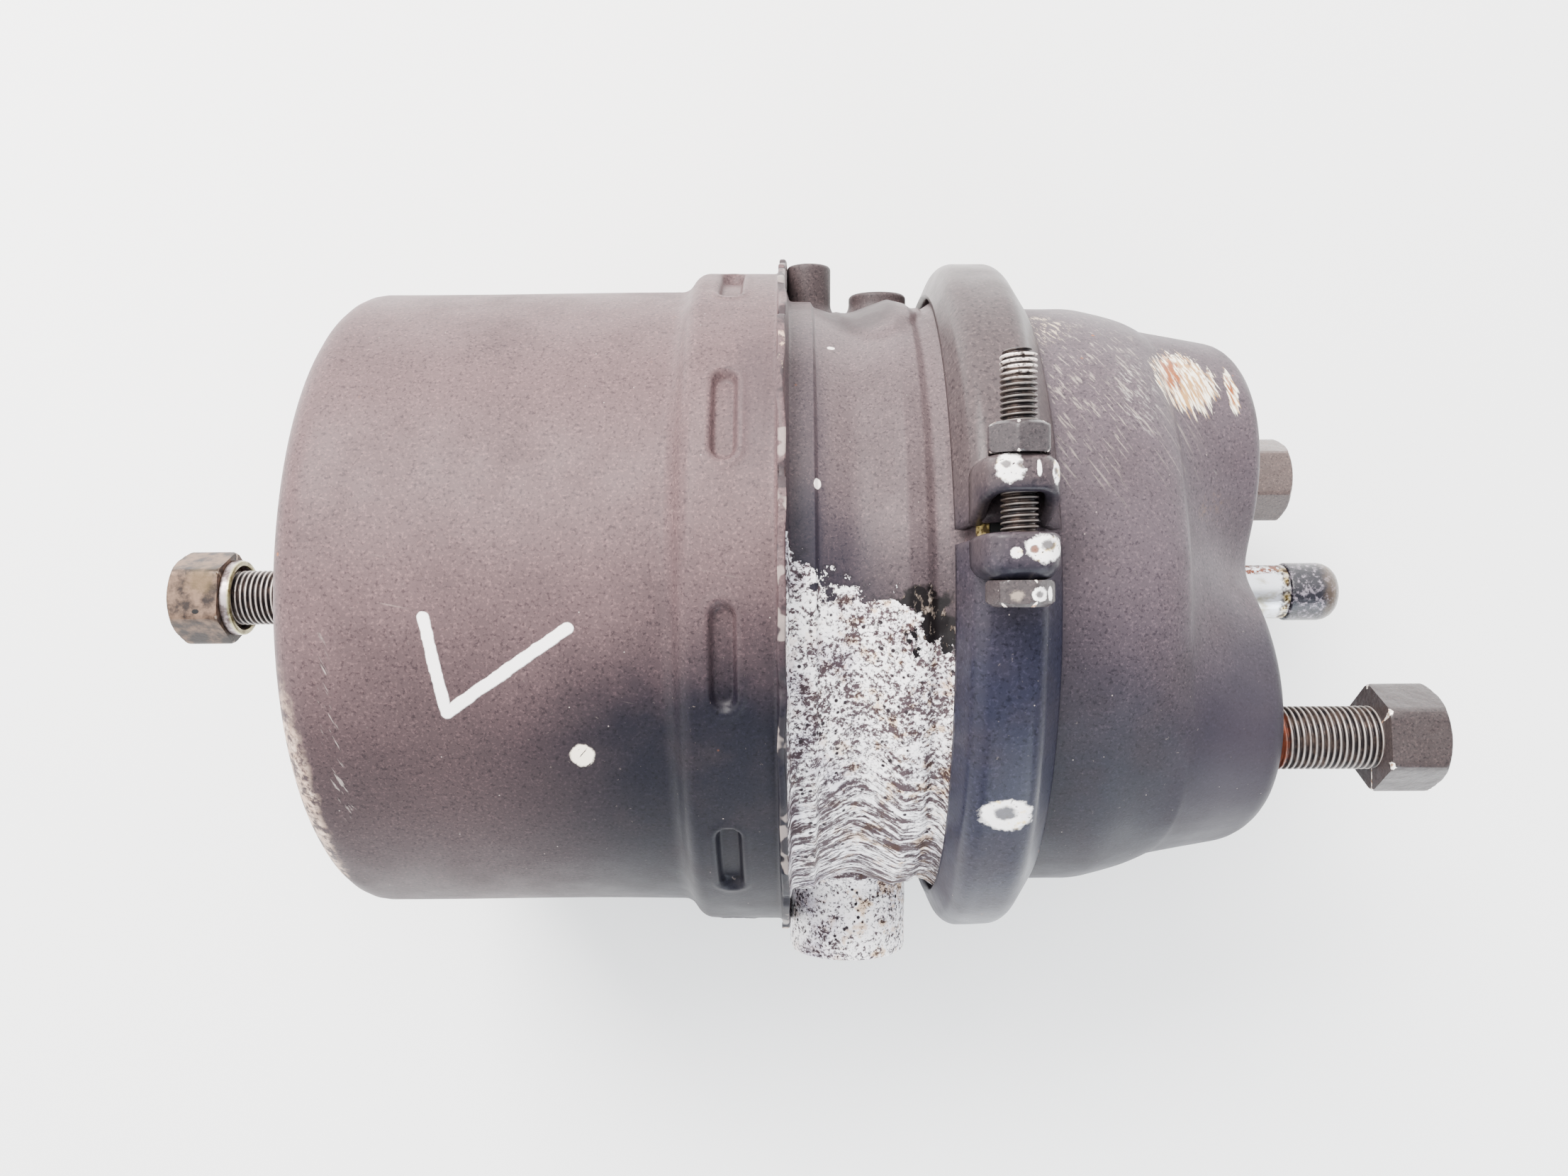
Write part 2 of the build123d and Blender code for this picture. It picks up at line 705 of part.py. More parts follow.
def mounting_studs():
    """Two studs: round head inside, neck pressed in the housing, threaded end."""
    nut_start = STUD_LENGTH - NUT_HEIGHT
    stud = tube(-HOUSING_WALL - STUD_HEAD_HEIGHT, -HOUSING_WALL, STUD_HEAD_R)
    stud += tube(-HOUSING_WALL, 0, STUD_NECK_R)
    stud += tube(0, nut_start, STUD_R)
    stud += tube(nut_start, STUD_LENGTH, THREAD_CORE_R)
    return at_studs(stud)


def mounting_nuts():
    """The two hexagon nuts, run on level with the ends of their studs."""
    start = STUD_LENGTH - NUT_HEIGHT
    nut = Plane((start, 0, 0), z_dir=(1, 0, 0)) * hexagon(NUT_AF, NUT_HEIGHT, THREAD_CORE_R)
    placed = [
        turned(Pos(0, STUD_SPACING / 2, 0) * Rot(X=NUT_TURN - STUD_AZIMUTH) * nut, azimuth)
        for azimuth in (STUD_AZIMUTH, STUD_AZIMUTH + 180)
    ]
    return Compound(children=placed)


def push_plate():
    """Dished plate that spreads the diaphragm's force onto the rod."""
    left, right = PLATE_X
    hub_foot_r, hub_end_r = PLATE_HUB_R
    return ring(
        [
            (left, 0),
            (left, PLATE_R - 3),
            (left + 1.5, PLATE_R),
            (right + PLATE_LIP, PLATE_R),
            (right + PLATE_LIP, PLATE_R - PLATE_LIP_SHEET),
            (right, PLATE_R - PLATE_LIP - PLATE_LIP_SHEET),
            (right, hub_foot_r),
            (right + PLATE_HUB_HEIGHT, hub_end_r),
            (right + PLATE_HUB_HEIGHT, ROD_R),
            (left + ROD_SEAT, ROD_R),
            (left + ROD_SEAT, 0),
        ]
    )


def push_rod():
    """Plated steel rod from the plate through the opening."""
    return tube(PLATE_X[0] + ROD_SEAT, ROD_CAP_X, ROD_R)


def rod_cap():
    """Hardened end of the rod, domed to seat in the brake's lever."""
    return ring(
        [
            (ROD_CAP_X, 0),
            (ROD_CAP_X, ROD_CAP_R),
            (ROD_TIP_X, ROD_CAP_R),
            (ROD_TIP_X, 0),
        ],
        [0, 0.8, ROD_DOME_R, 0],
    )


def return_spring():
    """Light conical spring that sends the push rod home."""
    return coil(
        PLATE_X[1] + 0.2,
        -HOUSING_WALL - SEAT_GAP,
        *RETURN_R,
        RETURN_COILS,
        RETURN_WIRE,
    )


def rod_boot():
    """Folded rubber boot between the rod and the opening."""
    start, end = BOOT_CUFF_X
    points = [(end, BOOT_CUFF_R), (start, BOOT_CUFF_R)]
    for fold in range(BOOT_FOLDS):
        x = start - 2.0 - fold * BOOT_PITCH
        points.append((x, BOOT_R[0]))
        points.append((x - BOOT_PITCH / 2, BOOT_R[1]))
    points.append((x - BOOT_PITCH, BOOT_NECK_R))
    points.append((x - BOOT_PITCH - BOOT_NECK_LENGTH, BOOT_NECK_R))
    return sheet(points, [BOOT_BEND] * (len(points) - 2), BOOT_WALL)


def boot_retainer():
    """Steel band that holds the boot in the opening."""
    return tube(*RETAINER_X, *RETAINER_R)


# ----------------------------------------------------------------- clamp ring

def clamp_section():
    """The middle of the channel's wall as (x, radius) points."""
    top = CLAMP_R - CLAMP_SHEET / 2
    return [
        (CLAMP_LEFT_X, CLAMP_FOOT_R),
        (CLAMP_SHOULDER_X[0], top),
        (CLAMP_SHOULDER_X[1], top),
        (CLAMP_RIGHT_X, CLAMP_FOOT_R - 0.4),
    ]


def clamp_ring():
    """Rolled channel with one gap and a hooded lug at each side of it."""
    channel = sheet(clamp_section(), [CLAMP_BEND, CLAMP_BEND], CLAMP_SHEET)
    channel -= Pos(LUG_X, CLAMP_GAP_Y, LUG_FOOT_Z) * Box(40, CLAMP_GAP, 50)
    core = ring(
        [(CLAMP_LEFT_X, 0), *clamp_section(), (CLAMP_RIGHT_X, 0)],
        [0, 0, CLAMP_BEND, CLAMP_BEND, 0, 0],
    )
    lugs = hood(*NUT_LUG_Y) + hood(*HEAD_LUG_Y)
    bolt_hole = Plane((LUG_X, -20, CLAMP_BOLT_Z), z_dir=(0, 1, 0)) * extrude(
        Circle(CLAMP_BOLT_HOLE_R), 80
    )
    return channel + (lugs - core) - bolt_hole


def arch_bar(inset, start, end):
    """A bar along Y whose section is an arch, standing on the lugs' foot plane."""
    half = LUG_WIDTH / 2 - inset
    height = LUG_TOP_Z - LUG_FOOT_Z - inset
    arch = FilletPolyline(
        (-half, 0), (-half, height), (half, height), (half, 0), radius=LUG_ROUND - inset
    )
    section = make_face([*arch.edges(), Line((half, 0), (-half, 0))])
    plane = Plane((LUG_X, end, LUG_FOOT_Z), x_dir=(1, 0, 0), z_dir=(0, -1, 0))
    return plane * extrude(section, end - start)


def hood(wall_y, rim_top_y, rim_foot_y):
    """A lug: a pressed arch closed by a rounded wall and open at a slanting rim."""
    way = 1 if wall_y > rim_foot_y else -1
    outer = arch_bar(0, *sorted((wall_y, rim_foot_y)))
    wall_edges = outer.edges().group_by(Axis.Y)[-1 if way > 0 else 0]
    outer = fillet([e for e in wall_edges if e.center().Z > LUG_FOOT_Z + 1], LUG_END_ROUND)
    hollow = arch_bar(LUG_SHEET, *sorted((wall_y - way * LUG_WALL, rim_foot_y - way * 5)))
    beyond = rim_foot_y - way * 5
    slope = make_face(Polyline(
        (beyond, LUG_FOOT_Z - 1),
        (rim_foot_y, LUG_FOOT_Z - 1),
        (rim_foot_y, CLAMP_R),
        (rim_top_y, LUG_TOP_Z),
        (rim_top_y, LUG_TOP_Z + 2),
        (beyond, LUG_TOP_Z + 2),
        close=True,
    ))
    rim_cut = Plane.YZ.offset(LUG_X) * extrude(slope, LUG_WIDTH, both=True)
    return outer - hollow - rim_cut


def clamp_bolt():
    """Hexagon bolt that draws the two lugs together."""
    low = HEAD_LUG_Y[0]
    head = Plane((LUG_X, low, CLAMP_BOLT_Z), z_dir=(0, -1, 0)) * hexagon(
        CLAMP_BOLT_AF, CLAMP_HEAD_HEIGHT, chamfered=CLAMP_CHAMFER
    )
    shank = Plane((LUG_X, low, CLAMP_BOLT_Z), z_dir=(0, 1, 0)) * extrude(
        Circle(CLAMP_BOLT_R), CLAMP_BOLT_END_Y - low
    )
    thread = Plane((LUG_X, NUT_LUG_Y[0], CLAMP_BOLT_Z), z_dir=(0, 1, 0)) * extrude(
        Circle(CLAMP_BOLT_R + 1) - Circle(CLAMP_BOLT_R - CLAMP_THREAD_DEPTH), CLAMP_NUT_HEIGHT
    )
    return head + shank - thread


def clamp_nut():
    """Nut on the clamp bolt."""
    return Plane((LUG_X, NUT_LUG_Y[0], CLAMP_BOLT_Z), z_dir=(0, 1, 0)) * hexagon(
        CLAMP_BOLT_AF, CLAMP_NUT_HEIGHT, CLAMP_BOLT_R - CLAMP_THREAD_DEPTH, chamfered=CLAMP_CHAMFER
    )


# ----------------------------------------------------------------- the parts

PARTS = {
    "spring_cylinder": spring_cylinder,
    "release_bush": release_bush,
    "release_spindle": release_spindle,
    "release_nut": release_nut,
    "release_pin": release_pin,
    "release_collar": release_collar,
    "thrust_washer": thrust_washer,
    "power_spring": power_spring,
    "spring_piston": spring_piston,
    "piston_seal": piston_seal,
    "piston_guide_ring": piston_guide_ring,
    "piston_tube": piston_tube,
    "tube_nose": tube_nose,
    "intermediate_flange": intermediate_flange,
    "spigot_seal": spigot_seal,
    "guide_bush": guide_bush,
    "tube_seal": tube_seal,
    "seal_retainer": seal_retainer,
    "diaphragm": diaphragm,
    "service_housing": service_housing,
    "mounting_studs": mounting_studs,
    "mounting_nuts": mounting_nuts,
    "push_plate": push_plate,
    "push_rod": push_rod,
    "rod_cap": rod_cap,
    "return_spring": return_spring,
    "rod_boot": rod_boot,
    "boot_retainer": boot_retainer,
    "clamp_ring": clamp_ring,
    "clamp_bolt": clamp_bolt,
    "clamp_nut": clamp_nut,
}

os.makedirs("parts", exist_ok=True)
for node, build in PARTS.items():
    export_step(build(), f"parts/{node}.step")
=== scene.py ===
import math

import bmesh
import bpy
import numpy as np
from mathutils import Matrix, Vector


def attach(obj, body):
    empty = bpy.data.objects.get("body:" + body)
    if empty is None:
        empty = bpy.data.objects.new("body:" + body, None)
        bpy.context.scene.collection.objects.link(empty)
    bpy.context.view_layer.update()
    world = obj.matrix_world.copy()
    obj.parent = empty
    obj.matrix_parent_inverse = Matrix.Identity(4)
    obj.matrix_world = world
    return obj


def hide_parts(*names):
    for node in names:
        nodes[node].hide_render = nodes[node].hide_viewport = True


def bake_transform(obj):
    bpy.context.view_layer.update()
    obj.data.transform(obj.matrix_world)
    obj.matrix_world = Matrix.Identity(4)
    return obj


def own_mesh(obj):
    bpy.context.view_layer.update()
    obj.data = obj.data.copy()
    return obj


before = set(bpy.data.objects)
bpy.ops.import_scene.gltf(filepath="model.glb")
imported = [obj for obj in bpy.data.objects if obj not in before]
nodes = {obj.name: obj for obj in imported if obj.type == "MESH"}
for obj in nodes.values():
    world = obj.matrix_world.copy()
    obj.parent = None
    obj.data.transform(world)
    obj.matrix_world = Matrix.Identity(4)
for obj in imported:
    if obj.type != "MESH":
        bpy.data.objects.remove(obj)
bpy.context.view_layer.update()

# Spring brake actuator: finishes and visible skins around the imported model.
# All named sizes are in millimetres and degrees; metres appear only where a
# mesh, a light or the camera is handed to Blender. Azimuths turn about +X
# from +Y to +Z. A profile is a row of (x, radius) points.

MM = 0.001

# ------------------------------------------------------------------ sizes

STUD_AZIMUTH = 128.0
STUD_RING_R = 60.35
STUD_LENGTH = 40.7
NUT_HEIGHT = 14.8
NUT_AF = 24.0                  # across the flats
NUT_BORE = 7.3
THREAD_R = 8.0
PITCH = 1.5

CYL_END_X = -240.0
CYL_R = 86.6
CYL_SHEET = 2.8
BAND_R = 91.6
RIM_X = (-123.7, -121.9)
RIM_R = 94.75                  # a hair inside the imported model's
RIM_TAB = 2.5                  # the stop tab stands out this far
RECESS_R = 24.0
RECESS_DEPTH = 18.0
DIMPLES = 10
DIMPLE_AZIMUTH = 26.8
DIMPLE_X = -135.9
DIMPLE_HALF_WIDTH = 3.2
DIMPLE_HALF_ARC = 7.75
DIMPLE_DEPTH = 2.4
DIMPLE_ROWS = (-141.0, -130.6)  # the shell has finer rows between these two X

BARREL_R = 80.0                # of the casting, about where the bosses stand
LIP_BACK_X = -73.1
LIP_R = 89.3
HOUSING_R = 81.5
HOUSING_WALL = 3.2
SHOULDER_X = -26.0
SHOULDER_R = 73.0
ROD_OPENING_R = 26.0

SPINDLE_END_X = -299.9
SPINDLE_HEAD_X = (-173.0, -169.0)
RELEASE_NUT_HEIGHT = 14.4

SERVICE_STROKE = 57.0
PISTON_LIFT = 2.0
RETURN_SEATS = (-94.2, -3.5)
POWER_SEATS = (-236.9, -181.3)
BOOT_WALL = 1.4

CLAMP_INSIDE_R = 91.0
CLAMP_GAP_Y = 13.5
CLAMP_GAP = 3.7
LUG_X = -72.4
HOOD_HALF_WIDTH = 9.0
HOOD_TOP = 108.8
HOOD_FOOT = 90.0
HOOD_SHEET = 3.2
HOOD_ROUND = 4.0
HOOD_COLUMNS = 49
CLAMP_BOLT_Z = 102.0
CLAMP_PITCH = 1.25
CLAMP_AF = 13.0

PORT_X = -105.2
PORT_BOSS_R = 16.6
PORT_TOP = 103.0
PORT_R = 7.25
PORT_DEPTH = 15.0
SERVICE_PORT_AZIMUTH = 180.0
SPRING_PORT_AZIMUTH = 228.0
TOP_BOSS_AZIMUTH = 4.0

# ------------------------------------------------------------ mesh helpers


def rounded(corners, radii, spacing=2.0, arc=6, closed=False):
    """Straight runs between corners (..., n, 2), every corner an arc of its own radius.

    An arc starts radius / tan(half the inner angle) before its corner. It is the
    spherical interpolation between its two tangent points about its centre.
    """
    corners = np.asarray(corners, float)
    count = corners.shape[-2]
    radii = np.broadcast_to(radii, (count,))
    steps = np.linspace(0.0, 1.0, arc)[:, None]
    stretches = []
    for i in range(count):
        corner = corners[..., i, :]
        if radii[i] == 0 or (not closed and i in (0, count - 1)):
            stretches.append(corner[..., None, :])
            continue
        back = corners[..., i - 1, :] - corner
        ahead = corners[..., (i + 1) % count, :] - corner
        back = back / np.linalg.norm(back, axis=-1, keepdims=True)
        ahead = ahead / np.linalg.norm(ahead, axis=-1, keepdims=True)
        inner = np.arccos(np.clip((back * ahead).sum(-1, keepdims=True), -0.99999, 0.99999))
        tangent = radii[i] / np.tan(inner / 2)
        middle = back + ahead
        middle = middle / np.linalg.norm(middle, axis=-1, keepdims=True)
        centre = corner + middle * radii[i] / np.sin(inner / 2)
        start = corner + back * tangent - centre
        end = corner + ahead * tangent - centre
        sweep = (math.pi - inner)[..., None, :]
        curve = np.sin((1 - steps) * sweep) * start[..., None, :]
        curve = curve + np.sin(steps * sweep) * end[..., None, :]
        stretches.append(centre[..., None, :] + curve / np.sin(sweep))
    joined = []
    for i in range(count):
        joined.append(stretches[i])
        if i < count - 1 or closed:
            start = stretches[i][..., -1:, :]
            end = stretches[(i + 1) % count][..., :1, :]
            length = np.linalg.norm(end - start, axis=-1).mean()
            inside = np.linspace(0, 1, int(length / spacing) + 2)[1:-1, None]
            joined.append(start + (end - start) * inside)
    return np.concatenate(joined, axis=-2)


def turned(profile, azimuths):
    """Surface of revolution about X: (x, r) at azimuth a goes to (x, r cos a, r sin a)."""
    x, r = np.broadcast_arrays(profile[..., 0], profile[..., 1])
    if x.ndim == 1:
        x, r = x[:, None], r[:, None]
        x = np.broadcast_to(x, (x.shape[0], azimuths.size))
    a = np.radians(azimuths)[None, :]
    return np.stack([x, r * np.cos(a), r * np.sin(a)], -1)


def polar(surface):
    """X, distance from the X axis and azimuth in degrees of every point."""
    y, z = surface[..., 1], surface[..., 2]
    return surface[..., 0], np.hypot(y, z), np.degrees(np.arctan2(z, y))


def paired(x, r):
    """A profile, or one for each azimuth, from its x and its radii."""
    return np.stack(np.broadcast_arrays(x, r), -1)


def full_turn(columns):
    """Azimuths of one full turn, in even steps."""
    return np.arange(columns) * 360.0 / columns


def smooth(value, low, high):
    """A soft step from 0 at low to 1 at high: 3t^2 - 2t^3."""
    t = np.clip((value - low) / (high - low), 0.0, 1.0)
    return t * t * (3 - 2 * t)


def angle_from(azimuth, centre, period=360.0):
    """Signed angle from centre to azimuth, wrapped to half a period each way."""
    return (azimuth - centre + period / 2) % period - period / 2


def ripple(a, b, seed, waves=7, low=0.5, high=2.0):
    """Seeded sum of sine waves over two parameters, about -1 to 1."""
    rng = np.random.default_rng(seed)
    total = np.zeros(np.broadcast(a, b).shape)
    for _ in range(waves):
        wave_a, wave_b = rng.uniform(low, high, 2) * rng.choice([-1, 1], 2)
        total = total + np.sin(wave_a * a + wave_b * b + rng.uniform(0, 6.28))
    return total / math.sqrt(waves)


def make_object(name, points, faces, marks=None, crisp=None):
    """A mesh object from points in millimetres and lists of faces, normals outwards."""
    mesh = bpy.data.meshes.new(name)
    mesh.from_pydata((points * MM).tolist(), [], faces)
    for mark, values in (marks or {}).items():
        layer = mesh.attributes.new(mark, "FLOAT", "POINT")
        layer.data.foreach_set("value", np.asarray(values, np.float32).ravel())
    cleaned = bmesh.new()
    cleaned.from_mesh(mesh)
    bmesh.ops.remove_doubles(cleaned, verts=cleaned.verts, dist=2e-6)
    bmesh.ops.recalc_face_normals(cleaned, faces=cleaned.faces)
    cleaned.to_mesh(mesh)
    cleaned.free()
    mesh.polygons.foreach_set("use_smooth", [True] * len(mesh.polygons))
    if crisp:
        mesh.set_sharp_from_angle(angle=math.radians(crisp))
    piece = bpy.data.objects.new(name, mesh)
    bpy.context.scene.collection.objects.link(piece)
    return piece


def grid_faces(rows, columns, close_rows=False, close_columns=True, start=0):
    """Quads of a grid of points counted row by row, joined round where asked."""
    last_row = rows if close_rows else rows - 1
    last_column = columns if close_columns else columns - 1
    i, j = np.meshgrid(np.arange(last_row), np.arange(last_column), indexing="ij")
    i2, j2 = (i + 1) % rows, (j + 1) % columns
    quads = np.stack([i * columns + j, i * columns + j2, i2 * columns + j2, i2 * columns + j], -1)
    return (quads.reshape(-1, 4) + start).tolist()


def skin(name, surface, close_rows=False, close_columns=True, caps=True, marks=None, crisp=None):
    """A piece from a grid of points; open ends of the rows or columns get a cap each."""
    rows, columns = surface.shape[:2]
    faces = grid_faces(rows, columns, close_rows, close_columns)
    if caps and close_columns and not close_rows:
        faces.append(list(range(columns)))
        faces.append([(rows - 1) * columns + j for j in range(columns)])
    if caps and close_rows and not close_columns:
        faces.append([i * columns for i in range(rows)])
        faces.append([i * columns + columns - 1 for i in range(rows)])
    return make_object(name, surface.reshape(-1, 3), faces, marks, crisp)


def placed(surface, axis_point, outward, side):
    """Carry a shape made on the X axis to another axis.

    Its X becomes outward, its Y becomes side, and its Z the cross product of the two.
    """
    outward = np.asarray(outward, float)
    side = np.asarray(side, float)
    third = np.cross(outward, side)
    moved = surface[..., :1] * outward + surface[..., 1:2] * side + surface[..., 2:] * third
    return moved + np.asarray(axis_point, float)


def outward_at(azimuth):
    """Unit vector away from the X axis at an azimuth."""
    a = math.radians(azimuth)
    return np.array([0, math.cos(a), math.sin(a)])


# -------------------------------------------------------------- materials


class Finish:
    """A material under construction: its node tree, its colour so far, and calls that add to it."""

    def __init__(self, name, specular=0.36):
        self.material = bpy.data.materials.new(name)
        self.material.use_nodes = True
        self.nodes = self.material.node_tree.nodes
        self.links = self.material.node_tree.links
        self.shader = self.nodes["Principled BSDF"]
        self.shader.inputs["Specular IOR Level"].default_value = specular
        self.place = self.nodes.new("ShaderNodeTexCoord").outputs["Object"]
        self.colour = None

    def put(self, kind, values, **settings):
        """Add a node, set its options, then link or set its inputs."""
        node = self.nodes.new(kind)
        for setting, value in settings.items():
            setattr(node, setting, value)
        for socket, value in values.items():
            if isinstance(value, bpy.types.NodeSocket):
                self.links.new(value, node.inputs[socket])
            else:
                node.inputs[socket].default_value = value
        return node

    def noise(self, size, detail=4.0, rough=0.55, place=None):
        """Noise from 0 to 1 with features of about size millimetres."""
        values = {"Vector": place or self.place, "Scale": 1.0 / (size * MM), "Detail": detail,
                  "Roughness": rough}
        return self.put("ShaderNodeTexNoise", values).outputs["Fac"]

    def cells(self, size):
        """Distance to the nearest of scattered points about size millimetres apart."""
        values = {"Vector": self.place, "Scale": 1.0 / (size * MM)}
        return self.put("ShaderNodeTexVoronoi", values).outputs["Distance"]

    def step(self, value, low, high):
        """A soft step from 0 at low to 1 at high (low may be the larger)."""
        values = {"Value": value, "From Min": low, "From Max": high}
        node = self.put("ShaderNodeMapRange", values, interpolation_type="SMOOTHSTEP")
        return node.outputs["Result"]

    def spots(self, low, high, *noise):
        """A soft step of noise: spots where it is past low."""
        return self.step(self.noise(*noise), low, high)

    def lines(self, low, high, *brushed):
        """A soft step of drawn-out noise: scratches where it is past low."""
        return self.step(self.brushed(*brushed), low, high)

    def sway(self, breadth, *noise):
        """Noise about zero, breadth wide."""
        return self.times(self.minus(self.noise(*noise), 0.5), breadth)

    def calc(self, operation, first, second=0.0):
        """One arithmetic step."""
        return self.put("ShaderNodeMath", {0: first, 1: second}, operation=operation).outputs[0]

    def chain(self, operation, terms):
        """The same arithmetic step along a row of numbers."""
        total = terms[0]
        for term in terms[1:]:
            total = self.calc(operation, total, term)
        return total

    def times(self, *factors):
        """Product of numbers."""
        return self.chain("MULTIPLY", factors)

    def plus(self, *terms):
        """Sum of numbers."""
        return self.chain("ADD", terms)

    def minus(self, first, second):
        """Difference of two numbers."""
        return self.calc("SUBTRACT", first, second)

    def either(self, *masks):
        """The largest of several masks."""
        return self.chain("MAXIMUM", masks)

    def length(self, *sides):
        """Square root of the sum of squares."""
        return self.calc("SQRT", self.plus(*(self.times(side, side) for side in sides)))

    def blend(self, amount, first, second, mode="MIX"):
        """Colour first where amount is 0, second where it is 1."""
        values = {"Factor": amount, 6: first, 7: second}
        node = self.put("ShaderNodeMix", values, data_type="RGBA", blend_type=mode)
        return node.outputs[2]

    def coat(self, colour, *masks, mode="MIX"):
        """Lay a colour over the colour so far, by the product of masks and shares."""
        self.colour = self.blend(self.times(*masks), self.colour, colour, mode)

    def lerp(self, amount, first, second):
        """Number first where amount is 0, second where it is 1."""
        return self.put("ShaderNodeMix", {"Factor": amount, 2: first, 3: second}).outputs[0]

    def point(self, x, y, z):
        """A place made of three numbers."""
        return self.put("ShaderNodeCombineXYZ", {"X": x, "Y": y, "Z": z}).outputs[0]

    def stretched(self, *factors):
        """Object coordinates times a factor along each axis, for streaks."""
        values = {"Vector": self.place, "Scale": factors}
        return self.put("ShaderNodeMapping", values).outputs["Vector"]

    def brushed(self, angle, size, length, detail=3.0):
        """Noise drawn out into lines: size across, length along the way at angle from +X to +Y."""
        x, y, z = self.axes()
        c, s = math.cos(math.radians(angle)), math.sin(math.radians(angle))
        along = self.plus(self.times(x, c), self.times(y, s))
        across = self.minus(self.times(y, c), self.times(x, s))
        place = self.point(self.times(along, size / length), across, self.times(z, BRUSH_DEPTH))
        return self.noise(size, detail, 0.6, place)

    def axes(self):
        """Object X, Y and Z as three numbers, in metres."""
        return tuple(self.put("ShaderNodeSeparateXYZ", {"Vector": self.place}).outputs)

    def azimuth(self):
        """Azimuth about X from +Y to +Z, in degrees, from 0 to 360."""
        _, y, z = self.axes()
        degrees = self.times(self.calc("ARCTAN2", z, y), 180 / math.pi)
        return self.calc("MODULO", self.plus(degrees, 360.0), 360.0)

    def radius(self):
        """Distance from the X axis, in metres."""
        return self.length(*self.axes()[1:])

    def near(self, centre, radii, ragged=0.35, size=1.6, edge=0.12, torn_by=None):
        """A ragged patch: 1 inside an ellipsoid at centre whose edge is warped by noise."""
        offset = self.put("ShaderNodeVectorMath", {0: self.place, 1: [c * MM for c in centre]},
                          operation="SUBTRACT").outputs[0]
        scaled = self.put("ShaderNodeVectorMath", {0: offset, 1: [r * MM for r in radii]},
                          operation="DIVIDE").outputs[0]
        reach = self.put("ShaderNodeVectorMath", {0: scaled}, operation="LENGTH").outputs["Value"]
        torn_by = torn_by or self.noise(size, 3.0, 0.6)
        warp = self.times(self.minus(torn_by, 0.5), 2 * ragged)
        return self.step(self.plus(reach, warp), 1.0 + edge, 1.0 - edge)

    def attribute(self, name):
        """A number stored on the mesh."""
        return self.put("ShaderNodeAttribute", {}, attribute_name=name).outputs["Fac"]

    def bump(self, height, strength, distance, below=None):
        """Bump of a height field; distance in millimetres is the height of a full step."""
        values = {"Height": height, "Strength": strength, "Distance": distance * MM}
        if below:
            values["Normal"] = below
        return self.put("ShaderNodeBump", values).outputs["Normal"]

    def done(self, roughness=None, metallic=None, normal=None):
        """Connect the shader and return the material."""
        for socket, value in (("Base Color", self.colour), ("Roughness", roughness),
                              ("Metallic", metallic), ("Normal", normal)):
            if isinstance(value, bpy.types.NodeSocket):
                self.links.new(value, self.shader.inputs[socket])
            elif value is not None:
                self.shader.inputs[socket].default_value = value
        return self.material


BRUSH_DEPTH = 0.3               # scratches run on this much less along Z than across
PAINT_TONE = 0.68               # the studio light is strong, so dull colours are this much deeper


def tint(red, green, blue, tone=1.0):
    """Linear colour from 8-bit display values."""
    def linear(v):
        v = v / 255
        return tone * (v / 12.92 if v <= 0.04045 else ((v + 0.055) / 1.055) ** 2.4)
    return (linear(red), linear(green), linear(blue), 1.0)


def rgb(red, green, blue):
    """Linear colour of a dull surface."""
    return tint(red, green, blue, PAINT_TONE)


# Old paint colours: the dusty one also holds painted light, PAINT is its blotches, and SHADED and
# the brown after it are painted shade.
LIT_DUSTY = rgb(102, 82, 83)
PAINT = rgb(58, 48, 50)
SHADED = rgb(21, 21, 31)
SHADED_BROWN = rgb(72, 58, 60)
BLACK = rgb(8, 8, 10)
PALE_RUST = rgb(190, 138, 100)
CHALK = tint(250, 246, 244)
BARE_STEEL = tint(225, 205, 190)
CREAM = tint(244, 232, 214)
UPPER_SIDE = (-34.0, 14.0)      # dust and painted light fade into painted shade between these two Y
LIT_DUST_SLOPE = 0.14               # and the limit climbs towards +X
BROWN_SIDE = (-205.0, -152.0)   # the painted shade is brown below these X, blue-black above
PAINT_GRAIN = 0.7
LIGHT_GRAIN = (1.7, 1.62, 1.58, 1.0)     # factors on the paint's own colour
DARK_GRAIN = (0.5, 0.5, 0.53, 1.0)
PAINT_GLOSS = 0.14              # specular level of all the old paint
TICK = ((-203.4, -4.7), (-199.3, -26.5), (-171.0, -7.3))
TICK_HALF_WIDTH = 1.35
BARE_FROM = 92.0                # azimuths between which the casting's paint is gone
BARE_TO = 262.0
BARE_SLOPE = 450.0              # degrees for each metre along X
SCRAPE_ANGLE = -71.0


